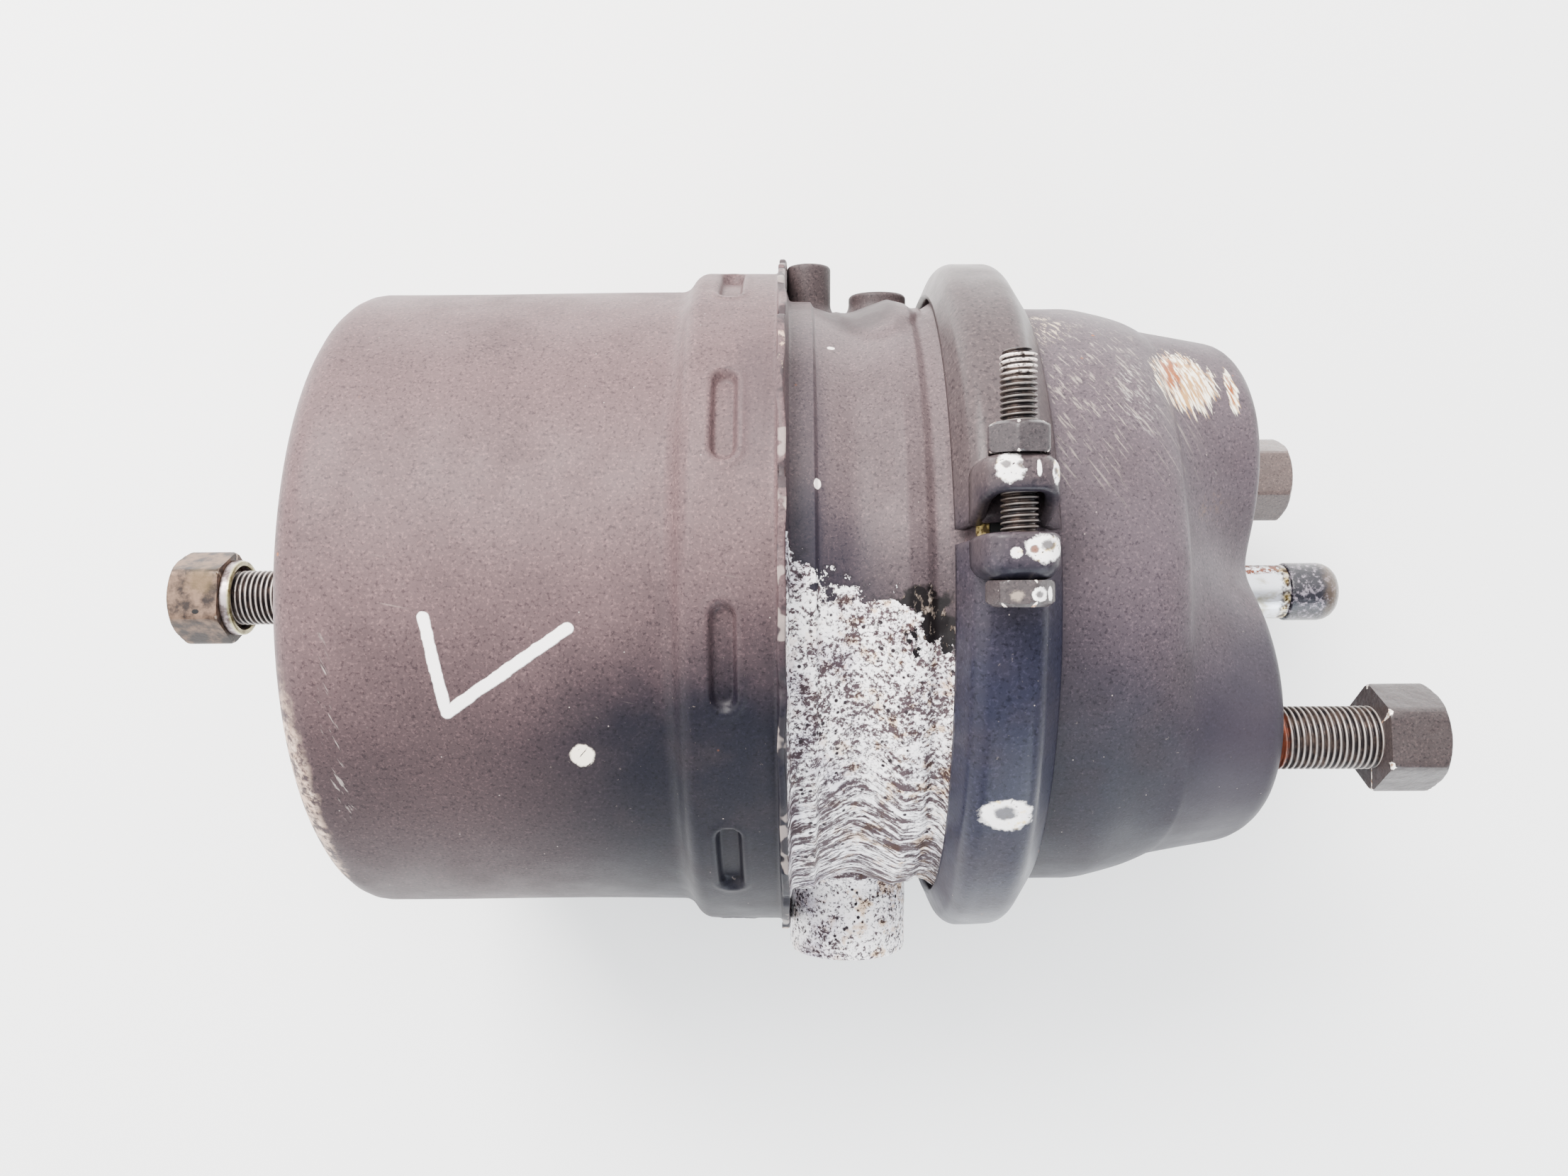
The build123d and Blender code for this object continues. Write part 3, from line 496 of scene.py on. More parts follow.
def old_paint(f, lit_dusty_colour=LIT_DUSTY, painted_shade=SHADED, grain=PAINT_GRAIN, sides=UPPER_SIDE):
    """Lay weathered satin paint and return its roughness and normal.

    The side that lay uppermost (+Y) carries dust and painted light; the other side has little
    dust and painted shade, brown towards -X and the given shade colour towards +X. Over both
    lie a fine grain in its own hue, faint blotches, a few light specks and rust freckles.
    """
    x, y, _ = f.axes()
    # Painted light: the +Y side is lit as well as dusty, and the other side gets painted shade.
    level = f.minus(y, f.times(f.plus(x, 0.16), LIT_DUST_SLOPE))
    upper = f.step(f.plus(level, f.sway(0.05, 42, 4, 0.6)), sides[0] * MM, sides[1] * MM)
    blotch = f.noise(20, 5, 0.62)
    # Painted shade: brown towards -X, the given shade colour towards +X.
    clean_or_shaded = f.blend(f.step(x, BROWN_SIDE[0] * MM, BROWN_SIDE[1] * MM), SHADED_BROWN, painted_shade)
    f.colour = f.blend(upper, clean_or_shaded, lit_dusty_colour)
    f.coat(PAINT, f.step(blotch, 0.42, 0.72), 0.3)
    speckle = f.noise(grain, 2, 0.6)
    f.coat(LIGHT_GRAIN, f.step(speckle, 0.5, 0.72), 0.95, mode="MULTIPLY")
    f.coat(DARK_GRAIN, f.spots(0.48, 0.3, grain * 1.2, 2, 0.6), 0.95, mode="MULTIPLY")
    f.coat(rgb(196, 180, 170), f.spots(0.68, 0.76, 1.7, 3, 0.7), 0.16)
    f.coat(rgb(150, 92, 58), f.step(f.cells(9.0), 0.06, 0.035), f.spots(0.54, 0.64, 45, 2))
    f.coat(rgb(230, 214, 205), f.step(f.cells(5.5), 0.036, 0.02), 0.5)
    height = f.plus(f.times(speckle, 0.6), f.times(f.noise(3.5, 3), 0.6))
    return f.lerp(f.step(blotch, 0.25, 0.8), 0.42, 0.58), f.bump(height, 0.45, 0.12)


# ------------------------------------------------------------- finishes


def cylinder_paint():
    """Old satin paint of the spring cylinder, chipped at the dished end's corner and at the rim."""
    f = Finish("cylinder_old_paint", specular=PAINT_GLOSS)
    roughness, normal = old_paint(f)
    worn = f.step(f.plus(f.attribute("wear"), f.times(f.noise(6, 5, 0.65), 0.9)), 1.0, 1.1)
    corner_rub = f.times(f.near((-238.5, -52, 66), (5, 30, 34), 0.55, 7, 0.3),
                         f.step(f.radius(), 79.5 * MM, 82.0 * MM), f.spots(0.4, 0.6, 2.6, 5, 0.7))
    # Painted shade: a soft darker patch on the band by the upper dimples.
    f.coat(rgb(74, 62, 66), f.near((-128.3, 46, 79), (6, 18, 26), 0.2, 9, 0.6), 0.5)
    # Dark and light patches along the rim: painted shade and painted highlights of its bumps.
    rim = f.attribute("rim")
    f.coat(rgb(44, 40, 44), rim, f.spots(0.5, 0.55, 9, 2, 0.5), 0.75)
    f.coat(rgb(206, 190, 182), rim, f.spots(0.54, 0.58, 7, 2, 0.5), 0.4)
    f.coat(f.blend(f.noise(2.5), PALE_RUST, BARE_STEEL), f.either(worn, corner_rub))
    hairlines = f.lines(0.71, 0.78, -12, 1.5, 40, 2)
    f.coat(rgb(190, 174, 164), hairlines, f.spots(0.55, 0.66, 38, 3), 0.4)
    f.coat(rgb(206, 194, 186), f.near((-226.5, -33, 78), (2.0, 22, 40), 0.7, 3, 0.2),
           f.lines(0.58, 0.68, -66, 0.8, 12, 2), 0.5)
    dab = f.near((-169.0, -36.8, 78.3), (2.7, 2.7, 9), 0.2, 1.6)
    f.coat(CREAM, dab, f.lines(0.34, 0.42, 50, 0.7, 3, 2))
    tick = f.either(*(segment(f, *ends) for ends in zip(TICK, TICK[1:])))
    f.coat(CHALK, tick)
    marks = f.either(tick, dab)
    return f.done(f.lerp(marks, roughness, 0.7), None, f.bump(marks, 0.6, 0.25, normal))


def segment(f, start, end):
    """A brushed stroke on the upper side, from start to end in the X-Y plane.

    The mask is 1 where the distance to the straight line is under half the tick's width.
    """
    x, y, z = f.axes()
    sx, sy = (v * MM for v in start)
    ex, ey = (v * MM for v in end)
    length = math.hypot(ex - sx, ey - sy)
    ux, uy = (ex - sx) / length, (ey - sy) / length
    dx, dy = f.minus(x, sx), f.minus(y, sy)
    along = f.plus(f.times(dx, ux), f.times(dy, uy))
    across = f.minus(f.times(dx, -uy), f.times(dy, -ux))
    held = f.put("ShaderNodeClamp", {"Value": along, "Min": 0.0, "Max": length}).outputs[0]
    reach = f.plus(f.length(f.minus(along, held), across), f.sway(0.9 * MM, 3.0, 4, 0.6))
    edge = TICK_HALF_WIDTH * MM
    return f.times(f.step(reach, edge * 1.12, edge * 0.88), f.step(z, 0.0, 0.01))


def casting_finish():
    """Painted aluminium casting that has lost its paint and corroded on one side.

    The limit of the bare side is an azimuth that climbs along X, torn by noise.
    """
    f = Finish("casting_part_painted", specular=PAINT_GLOSS)
    # Old paint: lit and dusty in the first colour, painted shade in the second.
    roughness, normal = old_paint(f, rgb(98, 84, 86), rgb(26, 25, 34), 0.65)
    # Painted shade: blue-black in the recesses beside the rim.
    recess_shade = f.either(
        f.times(f.near((-117.0, 8.0, 83.0), (5.0, 24.0, 26.0), 0.3, 12, 0.6), 0.75),
        f.times(f.near((-116.8, 20.0, 75.0), (4.6, 52.0, 50.0), 0.2, 12, 0.6), 0.4),
        f.times(f.near((-112.0, 3.0, 83.0), (9.0, 17.0, 26.0), 0.25, 12, 0.9), 0.6))
    f.coat(rgb(30, 32, 46), recess_shade)
    f.coat(rgb(58, 50, 52), f.near((-102.6, 86.0, 20), (11.8, 19.5, 60), 0.12, 5, 0.14), 0.7)
    tar, glint = tar_patch(f)
    f.coat(f.blend(glint, rgb(26, 23, 24), rgb(150, 134, 122)), tar)
    bare, rim = bare_side_masks(f)
    metal, rough_height = corroded_metal(f)
    f.coat(rgb(24, 22, 26), rim, 0.5)
    f.coat(metal, bare)
    roughness = f.lerp(bare, f.lerp(tar, roughness, 0.25), 0.66)
    wet = f.bump(f.times(tar, glint), 0.8, 0.7, normal)
    film = f.bump(f.minus(1.0, bare), 0.9, 0.5, wet)
    surface = f.bump(f.times(rough_height, bare), 0.8, 0.6, film)
    f.coat(tint(240, 230, 224), f.either(f.near((-114.6, 25.4, 79), (0.8, 1.3, 8), 0.3, 1.5),
                                         f.near((-110.4, 62.0, 54), (1.0, 0.5, 6), 0.4, 1.2)))
    f.coat(f.blend(f.spots(0.4, 0.6, 1.6, 3), rgb(96, 78, 46), rgb(226, 200, 130)),
           f.near((-77.5, 14.0, 88), (1.8, 6.0, 5), 0.3, 2))
    # Painted shade inside the threaded bores of the ports.
    f.coat(rgb(46, 42, 44), f.attribute("bore"), 0.92)
    return f.done(roughness, f.lerp(bare, 0.0, 0.08), surface)


def tar_patch(f):
    """A dark, wet-looking rough patch by the clamp, and the glints on its lumps."""
    patch = f.near((-91.5, -8.5, 80), (9.5, 9.5, 14), 0.85, 5, 0.15)
    return patch, f.spots(0.56, 0.68, 1.5, 4, 0.6, f.stretched(1.0, 0.55, 1.0))


def bare_side_masks(f):
    """Where the casting's paint is gone, and the dark line just outside the paint's edge."""
    slope = f.times(f.minus(f.axes()[0], -0.1), BARE_SLOPE)
    torn, tears = f.sway(22.0, 13, 3, 0.6), f.sway(13.0, 3.6, 5, 0.68)
    edge = f.minus(f.plus(f.azimuth(), torn, tears), slope)
    bare = f.times(f.step(edge, BARE_FROM, BARE_FROM + 0.5), f.step(edge, BARE_TO, BARE_TO - 0.5))
    rim = f.times(f.step(edge, BARE_FROM - 1.6, BARE_FROM + 0.3),
                  f.step(edge, BARE_FROM + 2.4, BARE_FROM))
    return bare, rim


def corroded_metal(f):
    """White bloomed aluminium with dark specks, stains and pits, and its height.

    Round the service port the specks are drawn out into lines at even distances from its axis.
    """
    x, y, z = f.axes()
    from_port = f.length(f.minus(x, PORT_X * MM), z)
    drawn = f.noise(1.0, 4, 0.72, f.point(from_port, f.times(x, 0.13), f.times(y, 0.1)))
    on_port = f.times(f.step(y, -0.078, -0.084), f.step(from_port, 0.019, 0.0175))
    near_port = f.times(f.step(y, -0.022, -0.056), f.minus(1.0, on_port))
    fine = f.plus(f.noise(0.95, 4, 0.75), f.sway(0.6, 3.0, 4, 0.7))
    texture = f.lerp(f.times(near_port, 0.75), fine, drawn)
    clean_or_shaded = f.spots(0.62, 0.42, 20, 4, 0.6)
    extra = f.plus(f.times(on_port, -0.03), f.times(near_port, 0.05))
    threshold = f.plus(f.lerp(clean_or_shaded, 0.54, 0.475), extra)
    light = f.step(f.minus(texture, threshold), -0.075, 0.045)
    metal = f.blend(light, rgb(84, 70, 74), tint(255, 251, 252))
    left = f.step(x, -0.1, -0.118)
    violet = f.times(f.spots(0.44, 0.66, 10, 3), f.lerp(left, 0.3, 0.6))
    metal = f.blend(violet, metal, tint(166, 158, 184), "MULTIPLY")
    tan = f.times(f.spots(0.52, 0.64, 5, 4, 0.65), f.lerp(left, 0.8, 0.3))
    metal = f.blend(tan, metal, tint(222, 190, 150), "MULTIPLY")
    pits = f.times(f.step(f.cells(1.9), 0.34, 0.2), f.spots(0.46, 0.58, 6, 3))
    metal = f.blend(pits, metal, rgb(50, 42, 46))
    return metal, f.minus(texture, f.times(pits, 0.5))


def boss_paint():
    """Paint of the undrilled bosses, darker than the barrel's and with less dust, with the same
    painted light and shade as all the old paint.
    """
    f = Finish("boss_dark_paint", specular=PAINT_GLOSS)
    roughness, _ = old_paint(f, rgb(72, 62, 63), rgb(30, 28, 34), 0.65)
    return f.done(roughness)


def housing_paint():
    """Old satin paint of the service housing, scraped on the upper lobe and streaked over the dome.

    Scrapes and scratches are noise drawn out along slanting lines inside patches whose edge
    is torn by the same lines, so that they end like a comb.
    """
    f = Finish("housing_old_paint", specular=PAINT_GLOSS)
    # Old paint: lit and dusty in the first colour, painted shade in the second, the limit further
    # towards -Y.
    roughness, normal = old_paint(f, rgb(88, 77, 83), rgb(31, 31, 42), sides=(-60.0, -6.0))
    # Painted light: a lighter patch in the painted shade of the dome's lower side.
    f.coat(rgb(74, 66, 74), f.near((-12, -40, 52), (15, 24, 40), 0.2, 12, 0.8), 0.5)
    f.coat(rgb(200, 186, 174), f.near((-44, 52, 60), (22, 26, 40), 0.5, 18, 0.6),
           f.lines(0.56, 0.68, -58, 0.8, 26, 3), 0.5)
    # Whitish streaked marks on the upper lobe; the smaller one, at X -13.6 mm, is a painted sheen
    # beside its highlight.
    chalk_and_sheen = f.either(f.near((-36.5, 49, 62), (5.5, 9.5, 20), 0.7, 5, 0.5),
                     f.near((-13.6, 30, 66), (2.6, 3.6, 12), 0.5, 3, 0.4))
    f.coat(rgb(214, 206, 200), chalk_and_sheen, f.lines(0.52, 0.66, -50, 0.7, 2.6, 4), 0.5)
    f.coat(rgb(236, 214, 186), f.near((-56.5, 68, 45), (6.5, 5, 20), 0.5, 6, 0.3),
           f.lines(0.54, 0.64, -62, 0.8, 12, 2), 0.75)
    rubbed, metal = scraped_metal(f)
    f.coat(metal, rubbed)
    f.coat(rgb(132, 104, 84), f.near((-13.5, 21, 70), (6, 5, 20), 0.8, 4, 0.4),
           f.spots(0.48, 0.62, 2.2, 5, 0.7), 0.6)
    polished = f.near((-8.5, 31.5, 62), (4.5, 5.5, 14), 0.3, 4, 0.6)
    roughness = f.lerp(polished, f.lerp(rubbed, roughness, 0.34), 0.16)
    return f.done(roughness, f.times(rubbed, 0.5), normal)


def scraped_metal(f):
    """The scrapes of the upper lobe: where the steel shows, and its bright and rusty colours."""
    grooves = f.brushed(SCRAPE_ANGLE, 0.75, 22, 3)
    scrape = f.either(f.near((-20.6, 54.2, 52), (8.2, 9.0, 22), 0.95, 1, 0.1, grooves),
                      f.near((-7.3, 51.5, 48), (1.6, 6.4, 22), 0.9, 1, 0.1, grooves))
    rubbed = f.times(scrape, f.step(grooves, 0.3, 0.38))
    stained = f.either(f.near((-24.2, 56.5, 52), (3.4, 5.6, 22), 0.6, 2.5, 0.3),
                       f.near((-8.0, 52.0, 48), (1.1, 4.0, 22), 0.5, 2, 0.3))
    stained = f.times(stained, f.lines(0.4, 0.55, SCRAPE_ANGLE, 1.4, 12, 3))
    clean_or_shaded = f.blend(f.lines(0.42, 0.56, SCRAPE_ANGLE, 0.7, 12, 2),
                    rgb(214, 164, 106), tint(255, 246, 226))
    return rubbed, f.blend(stained, clean_or_shaded, rgb(168, 92, 44))


def paint_dab(f, centre, radii, holes=(), size=1.3):
    """A thick dab of marking paint, worn through at its holes (X, Y and the two radii of each)."""
    whole = f.near(centre, radii, 0.35, size)
    if not holes:
        return whole
    worn = [f.near((x, y, centre[2]), (rx, ry, radii[2]), 0.5, size * 0.7, 0.3)
            for x, y, rx, ry in holes]
    left = f.minus(whole, f.times(f.either(*worn), 0.9))
    return f.put("ShaderNodeClamp", {"Value": left}).outputs[0]


CLAMP_DABS = (                  # centre, radii, holes and noise size of each
    ((-75.3, 25.9, 107), (3.1, 3.2, 6), ((-76.2, 26.6, 1.0, 0.8), (-72.9, 26.4, 1.1, 0.9)), 1.3),
    ((-69.4, 25.7, 107), (0.55, 1.8, 6), (), 0.9),
    ((-65.5, 24.9, 104), (1.1, 2.7, 7), ((-65.7, 25.2, 0.5, 0.8),), 0.9),
    ((-68.4, 9.1, 107), (4.1, 2.9, 6), ((-70.6, 9.0, 0.9, 0.8), (-67.6, 9.8, 1.5, 1.1)), 1.3),
    ((-74.3, 8.3, 107), (1.3, 1.2, 5), (), 0.9),
    ((-71.6, -51.0, 78), (6.0, 3.9, 14), ((-71.9, -50.6, 2.6, 1.7),), 2.2),
)


def clamp_paint():
    """Thick glossy paint of the clamp, with dabs of cream marking paint."""
    f = Finish("clamp_old_paint", specular=PAINT_GLOSS)
    # Old paint: lit and dusty in the first colour, painted shade in the second.
    roughness, normal = old_paint(f, rgb(80, 70, 71), rgb(38, 39, 54), 0.9, (-30.0, 22.0))
    dabs = f.either(*(paint_dab(f, *dab) for dab in CLAMP_DABS))
    # Painted shade along the lower edges of both lugs.
    under = f.either(f.near((LUG_X, 20.8, 104), (10, 2.4, 9), 0.3, 3, 0.7),
                     f.near((LUG_X, 3.6, 104), (10, 2.2, 9), 0.3, 3, 0.7))
    f.coat(rgb(26, 27, 38), under, 0.8)
    marks = f.times(dabs, f.spots(0.3, 0.38, 1.0, 3, 0.6))
    f.coat(f.blend(f.spots(0.56, 0.68, 2.6, 3), CHALK, tint(236, 212, 160)), marks)
    f.coat(rgb(150, 96, 70), f.near((-70.6, 9.0, 107), (1.0, 0.9, 6), 0.3, 1), 0.6)
    roughness = f.lerp(marks, f.minus(roughness, 0.16), 0.4)
    return f.done(roughness, None, f.bump(marks, 0.7, 0.3, normal))


def fastener_paint(name, lit_dusty_colour):
    """Black painted nuts and heads, chipped on their corners, with painted glints there; the clamp
    bolt's head bears dabs.
    """
    f = Finish(name, specular=0.32)
    # Old paint: lit and dusty in the given colour, painted shade in the second.
    roughness, normal = old_paint(f, lit_dusty_colour, rgb(62, 54, 54), 0.6)
    # Chips and painted glints on the worn corners, near white and pale rust.
    chips_and_glints = f.step(f.plus(f.attribute("wear"), f.noise(4.2, 4, 0.7)), 1.1, 1.16)
    f.coat(f.blend(f.spots(0.36, 0.5, 1.6), PALE_RUST, tint(255, 244, 234)), chips_and_glints)
    dab = paint_dab(f, (-69.4, -0.3, 108), (1.8, 1.5, 5), ((-69.5, -0.3, 0.9, 0.7),), 0.9)
    f.coat(CHALK, f.either(dab, paint_dab(f, (-66.7, -0.2, 108), (0.7, 1.7, 5), size=0.9)))
    f.coat(rgb(196, 178, 160), f.near((-74.1, -0.5, 108), (1.2, 1.0, 5), 0.8, 0.9, 0.4), 0.5)
    pools = f.bump(f.noise(5, 3, 0.5), 0.6, 0.6, normal)
    return f.done(f.lerp(chips_and_glints, f.minus(roughness, 0.18), 0.35), f.times(chips_and_glints, 0.5), pools)


def thread_finish(name, crest_shine=0.85, rubbed_end=None, rust_to=None):
    """Dark oiled threads whose crests are rubbed bright.

    rubbed_end is the centre and size of an end rubbed nearly white; below X = rust_to the
    thread is rusty.
    """
    f = Finish(name)
    crest = f.attribute("wear")
    grime = f.noise(3, 4, 0.6)
    f.colour = f.blend(f.step(grime, 0.4, 0.7), rgb(36, 31, 33), rgb(86, 72, 66))
    f.coat(rgb(226, 214, 206), f.step(crest, 0.62, 1.0), f.step(grime, 0.82, 0.42), crest_shine)
    if rubbed_end:
        centre, radii = rubbed_end
        f.coat(tint(255, 240, 232), f.near(centre, radii, 0.3, 3, 0.4), f.step(crest, 0.1, 0.7),
               f.spots(0.38, 0.5, 1.1, 3))
    if rust_to is not None:
        warped = f.plus(f.axes()[0], f.times(f.noise(2, 3), 3 * MM))
        rust = f.blend(f.noise(1.5), rgb(84, 40, 30), rgb(150, 78, 52))
        f.coat(rust, f.step(warped, (rust_to + 2) * MM, rust_to * MM))
    return f.done(0.38, 0.45, f.bump(f.noise(0.8, 3), 0.4, 0.08))


def zinc_finish():
    """Bright zinc plating of the push rod, rusty along one side and creased."""
    f = Finish("rod_zinc")
    stain = f.noise(4, 5, 0.6, f.stretched(0.5, 1, 1))
    f.colour = f.blend(f.step(stain, 0.46, 0.66), tint(226, 228, 234), rgb(200, 194, 174))
    f.coat(rgb(122, 64, 40), f.near((8, 6.6, 3), (16, 1.8, 6), 0.5, 4, 0.2),
           f.spots(0.42, 0.52, 1.6, 4, 0.7))
    crust = f.near((21.0, 0, 0), (2.6, 9, 9), 0.75, 3, 0.2)
    f.coat(f.blend(f.spots(0.45, 0.6, 1.5, 4), rgb(60, 44, 26), rgb(206, 178, 104)), crust)
    creases = f.noise(0.9, 3, 0.6, f.stretched(0.2, 1, 1))
    return f.done(f.lerp(stain, 0.2, 0.42), 0.75, f.bump(f.plus(creases, crust), 0.4, 0.15))


def greasy_finish():
    """Black greasy rod end with light streaks, partly grime and partly painted reflections, drying
    brown at its tip.
    """
    f = Finish("rod_end_grease", specular=0.6)
    # Light streaks: partly grime, partly painted reflections on the black cap.
    dirt_and_sheen = f.noise(1.6, 5, 0.7)
    f.colour = f.blend(f.step(dirt_and_sheen, 0.5, 0.64), rgb(30, 28, 38), rgb(158, 148, 160))
    tip = f.step(f.plus(f.axes()[0], f.times(f.noise(3), 4 * MM)), 33 * MM, 36 * MM)
    f.coat(f.blend(f.brushed(90, 1.0, 8, 2), rgb(120, 98, 74), rgb(60, 52, 50)), tip, 0.7)
    return f.done(f.lerp(dirt_and_sheen, 0.08, 0.4), 0.15, f.bump(dirt_and_sheen, 0.7, 0.35))


def brown_steel():
    """Brown-black oiled hexagon of the release bolt."""
    f = Finish("release_nut_brown_steel")
    blotch = f.noise(4.5, 5, 0.6)
    f.colour = f.blend(f.step(blotch, 0.38, 0.66), rgb(40, 30, 27), rgb(132, 106, 88))
    worn = f.step(f.plus(f.attribute("wear"), f.noise(2.4, 4, 0.65)), 1.1, 1.25)
    f.coat(rgb(220, 200, 180), worn, 0.8)
    f.coat(rgb(112, 92, 62), f.near((-290.0, 5.0, 10), (4, 4, 9), 0.6, 3, 0.5), 0.6)
    f.coat(BLACK, f.near((-291.4, -3.9, 12), (1.0, 0.7, 3), 0.3, 0.8))
    normal = f.bump(f.plus(blotch, f.noise(1.0, 3)), 0.4, 0.15)
    return f.done(f.lerp(blotch, 0.34, 0.6), 0.45, normal)


def bright_ring():
    """Turned ring: stained grey zinc, yellow on its open face."""
    f = Finish("collar_yellow_zinc")
    stain = f.noise(3, 4, 0.6)
    f.colour = f.blend(f.step(stain, 0.38, 0.66), rgb(214, 200, 200), rgb(104, 88, 86))
    face = f.step(f.axes()[0], -0.2835, -0.2829)
    f.coat(f.blend(f.step(stain, 0.4, 0.7), rgb(214, 208, 164), rgb(120, 106, 70)), face)
    return f.done(f.lerp(stain, 0.25, 0.45), 0.8, f.bump(f.noise(1.2, 3), 0.3, 0.08))


def plain_steel(name, low, high, roughness):
    """Machined or coiled steel with a light mottle."""
    f = Finish(name)
    f.colour = f.blend(f.spots(0.35, 0.7, 6, 5, 0.6), low, high)
    return f.done(roughness, 0.7, f.bump(f.noise(1.2, 3), 0.25, 0.08))


def dull_finish(name, low, high, roughness=0.7):
    """Rubber or plastic: a faint mottle, a fine grain and no metal."""
    f = Finish(name)
    f.colour = f.blend(f.spots(0.3, 0.75, 9, 5, 0.6), low, high)
    return f.done(roughness, None, f.bump(f.noise(0.7, 2), 0.35, 0.05))


# ------------------------------------------------------------- big shells


def spring_cylinder_profile():
    """The drawn shell's section: fine outside from the recess to the rim, coarse back inside."""
    t = CYL_SHEET
    end, floor = CYL_END_X, CYL_END_X + RECESS_DEPTH
    outside = rounded(
        [(floor, 13.2), (floor, RECESS_R), (end, RECESS_R), (end, CYL_R), (-148.4, CYL_R),
         (-144.8, BAND_R), (DIMPLE_ROWS[0], BAND_R)],
        [0, 2.6, 5.4, 8.0, 4.5, 4.5, 0], spacing=1.9, arc=7)
    dimples = paired(np.linspace(*DIMPLE_ROWS, 26), BAND_R)
    rim = rounded(
        [(DIMPLE_ROWS[1], BAND_R), (RIM_X[0], BAND_R), (RIM_X[0], RIM_R), (RIM_X[1], RIM_R),
         (RIM_X[1], BAND_R - t)],
        [0, 1.2, 0.5, 0.5, 0], spacing=1.2, arc=5)
    inside = rounded(
        [(DIMPLE_ROWS[1], BAND_R - t), (-144.0, BAND_R - t), (-147.2, CYL_R - t),
         (end + t, CYL_R - t), (end + t, RECESS_R + t), (floor + t, RECESS_R + t),
         (floor + t, 13.2)],
        [0, 3.0, 3.0, 5.2, 2.6, 5.4, 0], spacing=9.0, arc=3)
    return np.concatenate([outside[:-1], dimples, rim[1:], inside])


def dimple_push(x, azimuth):
    """Depth of the pressed ovals: a flat floor with steep walls, round-ended along the turn."""
    off = np.abs(angle_from(azimuth, DIMPLE_AZIMUTH, 360.0 / DIMPLES))
    along = np.radians(off) * BAND_R
    straight = np.radians(DIMPLE_HALF_ARC) * BAND_R - DIMPLE_HALF_WIDTH
    over = np.maximum(along - straight, 0.0)
    reach = np.hypot(over, x - DIMPLE_X)
    lip = 0.25 * np.exp(-(((reach - DIMPLE_HALF_WIDTH - 1.0) / 0.8) ** 2))
    return DIMPLE_DEPTH * smooth(reach, DIMPLE_HALF_WIDTH + 0.15, DIMPLE_HALF_WIDTH - 1.15) - lip


def rim_edge(azimuth):
    """How far the flared rim's edge stands in or out: pockets, long shallow steps and a tab."""
    turn = np.radians(azimuth)
    step = smooth(np.abs(angle_from(azimuth, 9.0, 30.0)), 4.6, 4.3)
    pocket = smooth(np.abs(angle_from(azimuth, 3.2, 10.0)), 1.5, 1.15)
    pocket = pocket * (0.9 + 0.5 * ripple(turn, 0.0, 9, 6, 3, 14))
    waver = 0.2 * ripple(turn, 0.0, 5, 9, 6, 40)
    tab = (RIM_TAB + 0.6) * smooth(np.abs(angle_from(azimuth, TOP_BOSS_AZIMUTH)), 2.9, 2.4)
    return waver - 0.9 * step - np.clip(pocket, 0, 1.6) + tab


def spring_cylinder_skin():
    """Shell of revolution, pushed in at the dimples, notched at the rim and dented a little."""
    dense = np.linspace(-9.0, 9.0, 32, endpoint=False)
    sparse = np.linspace(9.0, 27.0, 16, endpoint=False)
    period = np.concatenate([dense, sparse])
    azimuths = (DIMPLE_AZIMUTH + period[None, :] + 36.0 * np.arange(DIMPLES)[:, None]).ravel()
    surface = turned(spring_cylinder_profile(), azimuths)
    x, r, a = polar(surface)
    turn = np.radians(a)
    on_band = smooth(r, BAND_R - 4, BAND_R - 3)
    push = dimple_push(x, a) * on_band
    at_rim = smooth(r, BAND_R + 1.2, RIM_R)
    dents = 0.22 * ripple(x / 26.0, turn * 3, 11)
    grown = r - push + rim_edge(a) * at_rim + dents * smooth(r, 40, 80)
    at_tab = np.abs(angle_from(a, TOP_BOSS_AZIMUTH)) < 3.2
    grown = np.minimum(grown, np.where(at_tab, RIM_R + RIM_TAB, RIM_R))
    surface[..., 1:] *= (grown / r)[..., None]
    surface[..., 0] += 0.35 * at_rim * ripple(turn, 0.0, 8, 9, 5, 30)
    corner = np.exp(-((x - CYL_END_X - 2.2) / 1.6) ** 2) * smooth(r, 80, 84)
    wear = np.maximum(0.42 * corner, 0.5 * smooth(grown, RIM_R - 1.0, RIM_R - 0.1))
    wear = wear * (0.75 + 0.35 * ripple(x / 9, turn * 9, 3))
    marks = {"wear": wear, "rim": at_rim}
    return skin("spring_cylinder_shell", surface, close_rows=True, marks=marks)


CASTING_CORNERS = [
    (-142.6, 88.5), (-122.2, 88.5), (-121.0, 84.0), (-115.2, 83.8), (-114.4, 82.4),
    (-105.0, 79.2), (-97.5, 81.8), (-94.0, 83.0), (-89.5, 82.2), (-87.5, 80.9),
    (-84.6, 81.4), (-81.2, 83.6), (-78.6, 89.3), (-76.5, 89.3), (-76.5, 83.2),
    (-82.0, 76.6), (-100.0, 59.0), (-104.0, 52.0), (-104.0, 20.5), (-133.0, 20.5),
    (-133.0, 27.0), (-112.0, 27.0), (-112.0, 64.0), (-122.0, 76.0), (-142.6, 81.5),
]
CASTING_RADII = [
    1.0, 0.4, 1.0, 0.4, 1.0, 9.0, 4.0, 2.5, 2.0, 2.0, 3.0, 1.0, 0.6, 0.4, 2.0,
    6.0, 5.0, 3.0, 0.5, 1.0, 1.5, 4.0, 5.0, 6.0, 0.5,
]


def boss_land(x, azimuth):
    """Raised land round the undrilled boss: an oval with a small step at its edge."""
    off = angle_from(azimuth, TOP_BOSS_AZIMUTH)
    oval = np.hypot((x + 97.0) / 12.6, off / 33.0)
    return 0.9 * smooth(oval, 1.04, 0.94) + 0.5 * smooth(oval, 0.95, 0.25)


